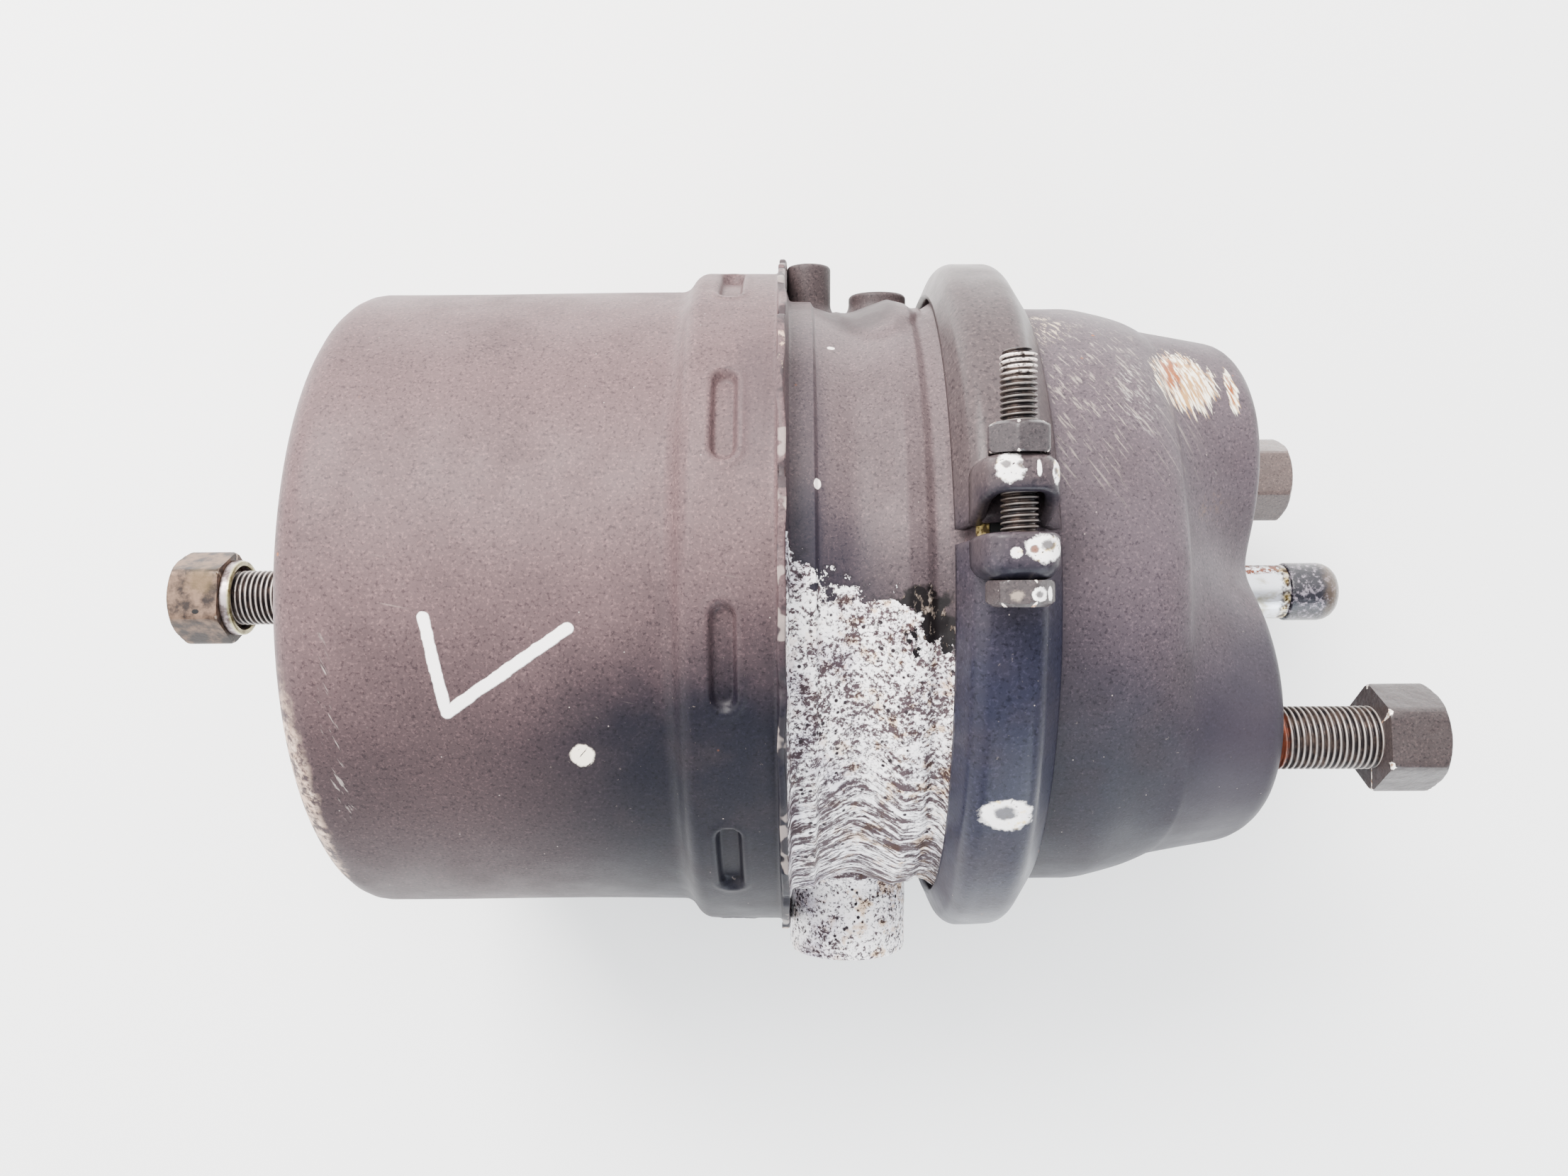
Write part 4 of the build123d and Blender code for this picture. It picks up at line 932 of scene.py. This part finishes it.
def bare_side(azimuth):
    """Where the casting has lost its paint, 0 to 1."""
    return smooth(azimuth, 88, 96) * smooth(azimuth, 264, 256)


def casting_skin():
    """Casting of revolution with its land, rough where it is corroded."""
    profile = rounded(CASTING_CORNERS, CASTING_RADII, spacing=2.0, arc=6, closed=True)
    surface = turned(profile, full_turn(372))
    x, r, a = polar(surface)
    a = a % 360
    outside = smooth(r, 77.5, 78.5) * smooth(x, -120.9, -119.5) * smooth(x, -80.0, -82.0)
    rough = 0.16 * ripple(x / 1.5, np.radians(a) * 60, 21, 12) * bare_side(a)
    grown = r + outside * (boss_land(x, a) * (r > 70) + rough)
    surface[..., 1:] *= (grown / r)[..., None]
    return skin("intermediate_casting", surface, close_rows=True)


def casting_boss(name, x, azimuth, radius, top, foot, bore=0.0, depth=0.0, seed=1):
    """A cast boss: a turned column whose foot flares out and follows the barrel.

    Its profile runs up the threaded bore, over the rounded rim and down the wall; the flare's
    last rings drop by radius squared over the barrel's radius, as a saddle does.
    """
    if bore:
        turns = np.arange(top - depth + 3.0, top - 2.0, PITCH)
        thread = [(h + s * PITCH, bore + s * 1.3) for h in turns for s in (0.0, 0.5)]
        head = [(top - depth, 0.05), (top - depth, bore)] + thread
        head += [(top - 1.0, bore), (top, bore + 1.0)]
        radii = [0, 0.8] + [0.12] * len(thread) + [0.2, 0.2]
    else:
        head = [(top, 0.05)]
        radii = [0]
    corners = head + [(top, radius), (81.5, radius), (79.0, radius + foot)]
    profile = rounded(corners, radii + [1.2, foot * 0.8, 0], spacing=1.2, arc=7)
    surface = turned(profile, full_turn(72))
    height, r, turn = polar(surface)
    low = smooth(height, 92.0, 80.0) * smooth(r, radius - 0.5, radius + foot)
    saddle = surface[..., 2] ** 2 / (2 * BARREL_R) + 2.5 * smooth(r, radius, radius + foot)
    height = height - low * saddle
    waver = 1 + 0.006 * ripple(np.radians(turn) * 2, height / 6, seed)
    inside = (r < bore + 0.9) & (height < top - 0.6)
    surface[..., 0] = height
    surface[..., 1:] *= waver[..., None]
    surface = placed(surface, (x, 0, 0), outward_at(azimuth), (1, 0, 0))
    return skin(name, surface, marks={"bore": inside})


def lobes(azimuth, lobe_r, waist_r, ear=4.5, ear_spread=22.0, waist=80.0, waist_spread=26.0):
    """Outline of the mounting boss: lobe radius, swollen at each stud, pinched at the waist."""
    stud = np.exp(-((angle_from(azimuth, STUD_AZIMUTH, 180.0) / ear_spread) ** 2))
    pinch = np.exp(-((angle_from(azimuth, waist, 180.0) / waist_spread) ** 2))
    return lobe_r + ear * stud - (lobe_r - waist_r) * pinch


def housing_skin():
    """Dome and two-lobed boss: at each azimuth its own rounded profile, given a wall inwards."""
    a = full_turn(360)
    foot = lobes(a, 75.0, 64.0)
    face = lobes(a, 70.5, 35.0)
    dome_end = np.maximum(SHOULDER_R, foot + 0.6)
    corners = [
        (LIP_BACK_X, HOUSING_R + 3.0), (LIP_BACK_X, LIP_R), (-66.4, LIP_R), (-62.6, 83.2),
        (-60.4, HOUSING_R), (-44.0, HOUSING_R), (-31.0, HOUSING_R - 3.2),
        (SHOULDER_X, dome_end), (SHOULDER_X + 0.4, foot), (0.0, face), (0.0, ROD_OPENING_R),
    ]
    corners = np.stack([paired(np.full(a.size, x), r) for x, r in corners], axis=1)
    radii = [0, 0.6, 1.2, 2.0, 2.0, 26.0, 8.0, 0.3, 0.3, 6.5, 0]
    profile = soften(rounded(corners, radii, spacing=2.0, arc=8))
    x, r = profile[..., 0].T, profile[..., 1].T
    dents = 0.25 * ripple(x / 17.0, np.radians(a)[None, :] * 3, 17) * smooth(x, -60, -50)
    piece = skin("service_housing_shell", turned(paired(x, r + dents), a), caps=False)
    return walled(piece, HOUSING_WALL, -1.0)


def walled(piece, thickness, side):
    """Give a surface a wall: inwards at side -1, half each way at side 0."""
    wall = piece.modifiers.new("wall", "SOLIDIFY")
    wall.thickness = thickness * MM
    wall.offset = side
    return piece


def soften(profile):
    """Round the hollow where the boss leaves the dome.

    Each point is blended again and again with the mean of its neighbours.
    """
    x = profile[..., 0]
    weight = (smooth(x, -37.0, -31.0) * smooth(x, -8.0, -14.0))[..., None]
    for _ in range(26):
        mean = (np.roll(profile, 1, axis=-2) + np.roll(profile, -1, axis=-2)) / 2
        profile = profile + 0.9 * weight * (mean - profile)
    return profile


# ------------------------------------------------------------- clamp ring


def clamp_channel():
    """Rolled channel: a bent strip's section carried round from one side of the gap to the next."""
    outer = [(-83.8, 84.9), (-79.9, 93.6), (-65.6, 93.6), (-59.6, 84.5)]
    inner = [(-62.0, 83.5), (-67.3, 91.0), (-78.2, 91.0), (-81.4, 83.9)]
    section = np.concatenate([rounded(outer, [0, 5.4, 5.4, 0], 1.0, 9),
                              rounded(inner, [0, 3.2, 3.2, 0], 1.4, 5)])
    gap = math.degrees(math.acos(CLAMP_GAP_Y / CLAMP_INSIDE_R))
    half_gap = math.degrees(CLAMP_GAP / 2 / CLAMP_INSIDE_R)
    azimuths = np.linspace(gap + half_gap, gap - half_gap + 360.0, 361)
    surface = turned(section, azimuths)
    near_end = np.minimum(azimuths - azimuths[0], azimuths[-1] - azimuths)[None, :]
    swell = 0.5 * np.exp(-((near_end / 7.0) ** 2))
    x, r, _ = polar(surface)
    dents = 0.18 * ripple(x / 8, np.radians(azimuths)[None, :] * 5, 31)
    surface[..., 1:] *= ((r + swell + dents) / r)[..., None]
    return skin("clamp_channel", surface, close_rows=True, close_columns=False)


def hood(name, wall_y, rim_y, foot_rim_y):
    """A lug: a squared arch in section, closed by a rounded end and open at a slanting rim.

    With c and s the square roots of cosine and sine of the way round the arch, a point is at
    (centre + k * half width * c, y, foot + k * height * s), where k falls to 0 over the
    rounded end and y slides from the rim's foot to its top with s.
    """
    way = 1.0 if wall_y > rim_y else -1.0
    turn = np.linspace(0, math.pi, HOOD_COLUMNS)
    across = np.sign(np.cos(turn)) * np.abs(np.cos(turn)) ** 0.5
    up = np.abs(np.sin(turn)) ** 0.5

    def ring_at(shrink, y_top, y_foot, inset=0.0):
        wide = (HOOD_HALF_WIDTH - inset) * shrink
        high = (HOOD_TOP - HOOD_FOOT - inset) * (1.0 if inset else 0.55 + 0.45 * shrink)
        high = high * (shrink > 0)
        y = y_foot + (y_top - y_foot) * up
        return np.stack([LUG_X + wide * across, y, HOOD_FOOT + high * up], -1)

    def rim_ring(start, share, inset=0.0):
        return ring_at(1.0, start + (rim_y - start) * share, start + (foot_rim_y - start) * share,
                       inset)

    rows = [ring_at(s, wall_y, wall_y) for s in (0.0, 0.15, 0.35, 0.55)]
    for t in np.linspace(0, math.pi / 2, 8):
        y = wall_y - way * HOOD_ROUND * (1 - math.cos(t))
        rows.append(ring_at(1 - (HOOD_ROUND / HOOD_HALF_WIDTH) * (1 - math.sin(t)), y, y))
    rows += [rim_ring(wall_y - way * HOOD_ROUND, s) for s in np.linspace(0.1, 1.0, 9)]
    for out, inset in ((0.63, 0.5), (0.9, 1.3), (0.63, HOOD_SHEET - 0.5)):
        rows.append(ring_at(1.0, rim_y - way * out, foot_rim_y - way * out, inset))
    inside = wall_y - way * HOOD_SHEET * 1.5
    rows += [rim_ring(inside, 1 - s, HOOD_SHEET) for s in np.linspace(0.0, 1.0, 6)]
    rows.append(ring_at(0.0, inside, inside, HOOD_SHEET))
    surface = np.stack(rows)
    bulge = 0.12 * ripple(surface[..., 0] / 4, surface[..., 1] / 4, 41)
    surface[..., 2] += bulge * (surface[..., 2] > 95)
    count, last = len(rows), HOOD_COLUMNS - 1
    faces = grid_faces(count, HOOD_COLUMNS, close_columns=False)
    faces.append([i * HOOD_COLUMNS for i in range(count)]
                 + [i * HOOD_COLUMNS + last for i in range(count - 2, 0, -1)])
    return make_object(name, surface.reshape(-1, 3), faces)


# ------------------------------------------------------------- fasteners

THREAD_ROWS = 9                # rows of points for each turn of a thread
THREAD_COLUMNS = 48
THREAD_DEPTH = 0.6             # times the pitch
THREAD_LEAD_IN = 1.2
HEXAGON_COLUMNS = 96
HEXAGON_CHAMFER = 1.9          # how far the cone cuts the corners back


def threaded_bar(name, start, end, radius, pitch, plain_before, axis_point, outward, side):
    """A bar with a thread, a plain stretch before it and a flat, chamfered end.

    The thread's radius is the bar's less its depth times a triangle wave of x / pitch - turn.
    """
    rows = int((end - start) / pitch * THREAD_ROWS) + 1
    x = np.linspace(start, end, rows)[:, None]
    a = full_turn(THREAD_COLUMNS)
    wave = np.abs(((x / pitch - a / 360.0) % 1.0) * 2 - 1)
    crest = smooth(wave, 0.12, 0.85)
    chamfer = np.maximum(THREAD_LEAD_IN - (end - x), 0.0)
    r = radius - THREAD_DEPTH * pitch * (1 - crest) - chamfer * 0.9
    surface = turned(paired(x, r), a)
    tail = surface[:1].copy()
    tail[..., 0] = start - plain_before
    crest = crest * (chamfer == 0)
    surface = placed(np.concatenate([tail, surface]), axis_point, outward, side)
    return skin(name, surface, marks={"wear": np.concatenate([crest[:1] * 0, crest])})


def hexagon_skin(name, across_flats, height, bore, azimuth, axis_point, outward, side):
    """A chamfered hexagon with a bore: six flats cut by a cone at the far end.

    The radius is across_flats / 2 / cos(angle from the middle of the flat), rounded at the
    corners, and never more than the chamfer cone's radius at that height.
    """
    a = full_turn(HEXAGON_COLUMNS)
    off = angle_from(a, azimuth, 60.0)
    corner = across_flats / math.sqrt(3)
    flat = np.minimum(across_flats / 2 / np.cos(np.radians(off)), corner - 0.25)
    sharp = smooth(np.abs(off), 22, 30)
    rows, wear = [], []

    def add(x, r, worn=0.1):
        rows.append(paired(x, np.broadcast_to(r, a.shape)))
        wear.append(np.broadcast_to(worn, a.shape))

    def worn_at(x):
        end = math.exp(-((x - height) / 1.2) ** 2) + math.exp(-(x / 0.8) ** 2)
        return np.clip(0.35 * sharp + 0.3 * end + 0.15 * sharp * end, 0, 0.75)

    add(0.0, bore, worn_at(0.0))
    for x in np.r_[0.0, 0.35, np.linspace(0.8, height - 3.2, 5),
                   np.linspace(height - 2.8, height, 9)]:
        cone = corner - HEXAGON_CHAMFER * max(0.0, (x - (height - 1.5)) / 1.5) ** 1.4
        foot_cone = corner - 0.8 * max(0.0, 1 - x / 0.8)
        add(x, np.minimum(np.minimum(flat, cone), foot_cone), worn_at(x))
    add(height, (across_flats / 2 - 0.9) * 0.92)
    add(height, bore + 1.0)
    add(height - 0.9, bore)
    add(0.0, bore)
    surface = placed(turned(np.stack(rows), a), axis_point, outward, side)
    return skin(name, surface, caps=False, marks={"wear": np.stack(wear)}, crisp=28)


def lathe(name, start, end, radius, edges, columns, spacing, bore=0.0):
    """A turned bar on the X axis with two rounded edges, or a ring where it has a bore."""
    inner, inner_edge = (bore, 0.3) if bore else (0.02, 0)
    corners = [(start, inner), (start, radius), (end, radius), (end, inner)]
    profile = rounded(corners, [inner_edge, *edges, inner_edge], spacing, 6, bool(bore))
    return skin(name, turned(profile, full_turn(columns)), close_rows=bool(bore))


def coil_skin(name, start, end, radii, coils, wire):
    """A conical coil: a circle carried square to the line (x, r cos t, r sin t).

    x runs evenly from seat to seat, half a wire short of each, and r evenly between its ends.
    """
    share = np.linspace(0, 1, int(coils * 44) + 1)
    turn = 2 * math.pi * coils * share
    radius = radii[0] + (radii[1] - radii[0]) * share
    zero = np.zeros(share.size)
    outward = np.stack([zero, np.cos(turn), np.sin(turn)], -1)
    line = outward * radius[:, None]
    line[:, 0] = start + wire / 2 + (end - start - wire) * share
    way = np.gradient(line, axis=0)
    way /= np.linalg.norm(way, axis=1, keepdims=True)
    aside = np.cross(way, outward)
    a = np.radians(full_turn(18))[None, :, None]
    ring = np.cos(a) * outward[:, None, :] + np.sin(a) * aside[:, None, :]
    return skin(name, line[:, None, :] + wire / 2 * ring)


def boot_skin():
    """Folded rubber boot: a zigzag profile with round folds, given a wall."""
    folds = [(x, r) for crest in (-8.5, -15.5, -22.5, -29.5)
             for x, r in ((crest, 21.0), (crest - 3.5, 13.0))]
    corners = [(-1.0, 24.4), (-6.5, 24.4), *folds, (-36.5, 8.8), (-42.5, 8.8)]
    profile = rounded(corners, [0] + [0.7] * (len(corners) - 2) + [0], 1.2, 5)
    piece = skin("rod_boot_folds", turned(profile, full_turn(96)), caps=False)
    return walled(piece, BOOT_WALL, 0.0)


# ------------------------------------------------------------- the pieces

BODY = "chamber"

# Ways in which threads and hexagons point, each with the direction of its azimuth 0.
FORWARD = ((1, 0, 0), (0, 1, 0))
BACKWARD = ((-1, 0, 0), (0, 1, 0))
TO_NUT = ((0, 1, 0), (0, 0, 1))
TO_HEAD = ((0, -1, 0), (0, 0, 1))


def dress(piece, material, body, slot, *replaced):
    """Give a new piece its finish and its body, and hide the nodes that it stands for; slot is not
    used.
    """
    piece.data.materials.clear()
    piece.data.materials.append(material)
    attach(piece, body)
    if replaced:
        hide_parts(*replaced)


def finish_node(name, material):
    """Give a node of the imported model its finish."""
    data = nodes[name].data
    data.materials.clear()
    data.materials.append(material)


def build_shells():
    """Spring cylinder, casting with its bosses, and service housing."""
    dress(spring_cylinder_skin(), cylinder_paint(), BODY, "cylinder_paint", "spring_cylinder")
    cast = casting_finish()
    dress(casting_skin(), cast, BODY, "cast_aluminium", "intermediate_flange")
    port = (PORT_BOSS_R, PORT_TOP, 4.0, PORT_R, PORT_DEPTH)
    dark = boss_paint()
    bosses = (
        ("port_boss_service", PORT_X, SERVICE_PORT_AZIMUTH, port, 0, cast),
        ("port_boss_spring", PORT_X, SPRING_PORT_AZIMUTH, port, 1, cast),
        ("stop_lug", -115.5, TOP_BOSS_AZIMUTH, (6.3, 95.0, 5.0), 5, dark),
        ("undrilled_boss", -95.8, TOP_BOSS_AZIMUTH, (8.2, 86.6, 5.0), 6, dark),
    )
    for name, x, azimuth, sizes, seed, paint in bosses:
        boss = casting_boss(name, x, azimuth, *sizes, seed=seed)
        dress(boss, paint, BODY, "cast_aluminium")
    dress(housing_skin(), housing_paint(), BODY, "black_paint", "service_housing")


def build_clamp():
    """Clamp ring with its two hooded lugs, its bolt and its nut."""
    paint = clamp_paint()
    parts = fastener_paint("clamp_fastener_paint", rgb(66, 60, 62))
    dress(clamp_channel(), paint, BODY, "black_paint", "clamp_ring")
    dress(hood("clamp_lug_nut_side", 29.4, 21.9, 15.6), paint, BODY, "black_paint")
    dress(hood("clamp_lug_head_side", 2.7, 11.8, 11.4), paint, BODY, "black_paint")
    bolt = threaded_bar("clamp_bolt_thread", 7.0, 51.4, 4.0, CLAMP_PITCH, 4.0,
                        (LUG_X, 0, CLAMP_BOLT_Z), *TO_NUT)
    rubbed_end = ((LUG_X, 52.0, 105), (6, 6.5, 9))
    bolt_thread = thread_finish("clamp_bolt_thread_finish", 0.22, rubbed_end)
    dress(bolt, bolt_thread, BODY, "black_paint", "clamp_bolt")
    head = hexagon_skin("clamp_bolt_head", CLAMP_AF, 5.6, 2.0, 12.0,
                        (LUG_X, 2.7, CLAMP_BOLT_Z), *TO_HEAD)
    dress(head, parts, BODY, "black_paint")
    nut = hexagon_skin("clamp_nut_hexagon", CLAMP_AF, 6.6, 3.4, 20.0,
                       (LUG_X, 29.3, CLAMP_BOLT_Z), *TO_NUT)
    dress(nut, parts, BODY, "black_paint", "clamp_nut")


def build_mounting():
    """Threaded studs and their nuts."""
    thread = thread_finish("stud_thread", 0.5, rust_to=3.0)
    paint = fastener_paint("mounting_nut_paint", rgb(100, 86, 82))
    for number, flat_azimuth in ((1, 85.8), (2, 85.0)):
        point = outward_at(STUD_AZIMUTH + 180.0 * (number - 1)) * STUD_RING_R
        stud = threaded_bar(f"mounting_stud_{number}", 1.5, STUD_LENGTH, THREAD_R, PITCH, 1.5,
                            point, *FORWARD)
        dress(stud, thread, BODY, "zinc_steel", "mounting_studs")
        nut = hexagon_skin(f"mounting_nut_{number}", NUT_AF, NUT_HEIGHT, NUT_BORE, flat_azimuth,
                           point + (STUD_LENGTH - NUT_HEIGHT, 0, 0), *FORWARD)
        dress(nut, paint, BODY, "black_paint", "mounting_nuts")


def build_rod():
    """Push rod, its domed end and the boot round it."""
    rod = lathe("push_rod_bar", -97.2, 22.6, 7.8, (0.5, 0.3), 64, 1.5)
    dress(rod, zinc_finish(), "push_rod", "zinc_steel", "push_rod")
    cap = lathe("push_rod_end", 22.4, 37.7, 8.4, (0.8, 5.4), 72, 1.0)
    dress(cap, greasy_finish(), "push_rod", "dark_steel", "rod_cap")
    boot = boot_skin()
    boot.data.materials.append(dull_finish("boot_rubber", rgb(26, 26, 27), rgb(40, 38, 37)))
    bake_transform(boot)
    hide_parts("rod_boot")


def build_release():
    """Wound-out release bolt with its hexagon and loose collar."""
    nut_end = SPINDLE_END_X + RELEASE_NUT_HEIGHT
    thread = thread_finish("spindle_thread")
    inner, outer = SPINDLE_HEAD_X
    bar = threaded_bar("release_spindle_thread", 0.0, inner - SPINDLE_END_X, THREAD_R, PITCH, 0.5,
                       (inner, 0, 0), *BACKWARD)
    dress(bar, thread, "release_bolt", "dark_steel", "release_spindle")
    head = lathe("release_spindle_head", inner, outer, 12.6, (0.6, 0.6), 72, 2.0)
    dress(head, thread, "release_bolt", "dark_steel", "release_spindle")
    nut = hexagon_skin("release_hexagon", NUT_AF, RELEASE_NUT_HEIGHT, NUT_BORE, 94.6,
                       (nut_end, 0, 0), *BACKWARD)
    dress(nut, brown_steel(), "release_bolt", "dark_steel", "release_nut")
    collar = lathe("release_collar_ring", nut_end, nut_end + 3, 11.0, (0.5, 0.5), 72, 0.8, 9.5)
    dress(collar, bright_ring(), "release_collar", "bright_steel", "release_collar")


def build_springs():
    """The two coil springs at rest; in the part they shorten as the rod moves out and the piston
    moves back.
    """
    steel = plain_steel("spring_steel_black", rgb(34, 34, 36), rgb(58, 56, 54), 0.45)
    springs = (
        ("return_spring", RETURN_SEATS, (44.0, 28.0), 5.5, 4.4,
         "service_stroke", SERVICE_STROKE, 1),
        ("power_spring", POWER_SEATS, (70.0, 33.0), 4.5, 12.0,
         "spring_piston_lift", PISTON_LIFT, 0),
    )
    for node, seats, radii, coils, wire, joint, travel, fixed in springs:
        coil = coil_skin(node + "_coil", *seats, radii, coils, wire)
        dress(coil, steel, BODY, "spring_steel", node)
        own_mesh(coil)


def dress_nodes():
    """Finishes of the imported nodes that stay: the inner pieces and small parts."""
    rubber = dull_finish("seal_rubber", rgb(24, 24, 25), rgb(38, 37, 36))
    plastic = dull_finish("bearing_plastic", rgb(120, 112, 96), rgb(146, 138, 120), 0.55)
    spring = plain_steel("spring_steel_black", rgb(34, 34, 36), rgb(58, 56, 54), 0.45)
    turned_steel = plain_steel("turned_steel", rgb(150, 148, 142), rgb(196, 194, 188), 0.3)
    dark = plain_steel("oiled_black_steel", rgb(48, 42, 40), rgb(76, 66, 60), 0.42)
    cast = plain_steel("piston_aluminium", rgb(150, 150, 150), rgb(192, 192, 190), 0.5)
    zinc = plain_steel("plate_zinc", rgb(170, 170, 160), rgb(206, 206, 200), 0.35)
    groups = {
        rubber: ("piston_seal", "spigot_seal", "tube_seal", "diaphragm"),
        plastic: ("piston_guide_ring", "guide_bush", "tube_nose"),
        spring: ("seal_retainer",),
        turned_steel: ("piston_tube", "thrust_washer", "boot_retainer"),
        dark: ("release_bush", "release_pin"),
        cast: ("spring_piston",),
        zinc: ("push_plate",),
    }
    for material, names in groups.items():
        for name in names:
            finish_node(name, material)


# ------------------------------------------------- floor, light and camera

FLOOR_Z = -95.4
FLOOR_HALF = 3000.0
IMAGE_WIDTH_PX = 2212.0
FOCAL_PX = 1727.22
SENSOR_MM = 36.0
CAMERA_POINT = (-119.5, 0.0, 360.57)
CAMERA_TURNS = (-0.588, -0.307, 0.337)


def build_floor():
    """A wide pale floor under the part."""
    signs = ((-1, -1), (1, -1), (1, 1), (-1, 1))
    corners = np.array([(x * FLOOR_HALF, y * FLOOR_HALF, FLOOR_Z) for x, y in signs])
    floor = make_object("floor", corners, [[0, 1, 2, 3]])
    f = Finish("floor_pale")
    f.colour = f.blend(f.spots(0.3, 0.7, 300, 3), (0.95, 0.955, 0.95, 1), (0.98, 0.98, 0.975, 1))
    floor.data.materials.append(f.done(0.55))


def area_light(name, place, aim, size, power, colour):
    """A square soft light that looks from place to aim."""
    data = bpy.data.lights.new(name, "AREA")
    data.size = size * MM
    data.energy = power
    data.color = colour
    lamp = bpy.data.objects.new(name, data)
    bpy.context.scene.collection.objects.link(lamp)
    lamp.location = Vector(place) * MM
    lamp.rotation_euler = (Vector(aim) - Vector(place)).to_track_quat("-Z", "Y").to_euler()


DOME_STRENGTH = 3.6
DOME_WHITE = (1.0, 1.0, 1.0, 1)
CARD_COLOUR = (0.13, 0.135, 0.15, 1)
CARD_DIRECTION = (0.46, -0.66, 0.6)
PANELS = (                      # name, place, aim, side, watts and colour
    ("key_panel", (-600, 900, 1000), (-120, 0, 0), 800, 68.0, (1.0, 0.96, 0.93)),
    ("fill_panel", (300, -900, 500), (-60, 0, 0), 700, 14.0, (0.86, 0.93, 1.0)),
)


def build_light():
    """Soft studio light: a bright dome, a dark card high over one side, and two large panels.

    The card is where the way looked along leans towards the card's direction, and fades out
    near the horizon; both are soft steps of dot products.
    """
    world = bpy.data.worlds.new("studio")
    bpy.context.scene.world = world
    world.use_nodes = True
    tree = world.node_tree
    way = tree.nodes.new("ShaderNodeTexCoord").outputs["Generated"]

    def faded(direction, low, high):
        facing = tree.nodes.new("ShaderNodeVectorMath")
        facing.operation = "DOT_PRODUCT"
        facing.inputs[1].default_value = direction
        tree.links.new(way, facing.inputs[0])
        fade = tree.nodes.new("ShaderNodeMapRange")
        fade.interpolation_type = "SMOOTHSTEP"
        fade.inputs["From Min"].default_value = low
        fade.inputs["From Max"].default_value = high
        tree.links.new(facing.outputs["Value"], fade.inputs["Value"])
        return fade.outputs["Result"]

    card = tree.nodes.new("ShaderNodeMath")
    card.operation = "MULTIPLY"
    tree.links.new(faded(CARD_DIRECTION, 0.42, 0.84), card.inputs[0])
    tree.links.new(faded((0, 0, 1), 0.04, 0.3), card.inputs[1])
    shade = tree.nodes.new("ShaderNodeMix")
    shade.data_type = "RGBA"
    shade.inputs[6].default_value = DOME_WHITE
    shade.inputs[7].default_value = CARD_COLOUR
    tree.links.new(card.outputs[0], shade.inputs["Factor"])
    tree.links.new(shade.outputs[2], tree.nodes["Background"].inputs["Color"])
    tree.nodes["Background"].inputs["Strength"].default_value = DOME_STRENGTH
    for panel in PANELS:
        area_light(*panel)


def build_camera():
    """Camera straight above the part, with its small yaw, pitch and roll."""
    yaw, pitch, roll = (math.radians(v) for v in CAMERA_TURNS)
    turn = Matrix.Rotation(roll, 3, "Z") @ Matrix.Rotation(pitch, 3, "X")
    turn = turn @ Matrix.Rotation(yaw, 3, "Y")
    data = bpy.data.cameras.new("camera")
    data.sensor_width = SENSOR_MM
    data.sensor_fit = "HORIZONTAL"
    data.lens = SENSOR_MM * FOCAL_PX / IMAGE_WIDTH_PX
    data.clip_start = 0.01
    camera = bpy.data.objects.new("camera", data)
    bpy.context.scene.collection.objects.link(camera)
    camera.matrix_world = Matrix.Translation(Vector(CAMERA_POINT) * MM) @ turn.transposed().to_4x4()
    bpy.context.scene.camera = camera


build_shells()
build_clamp()
build_mounting()
build_rod()
build_release()
build_springs()
dress_nodes()
build_floor()
build_light()
build_camera()
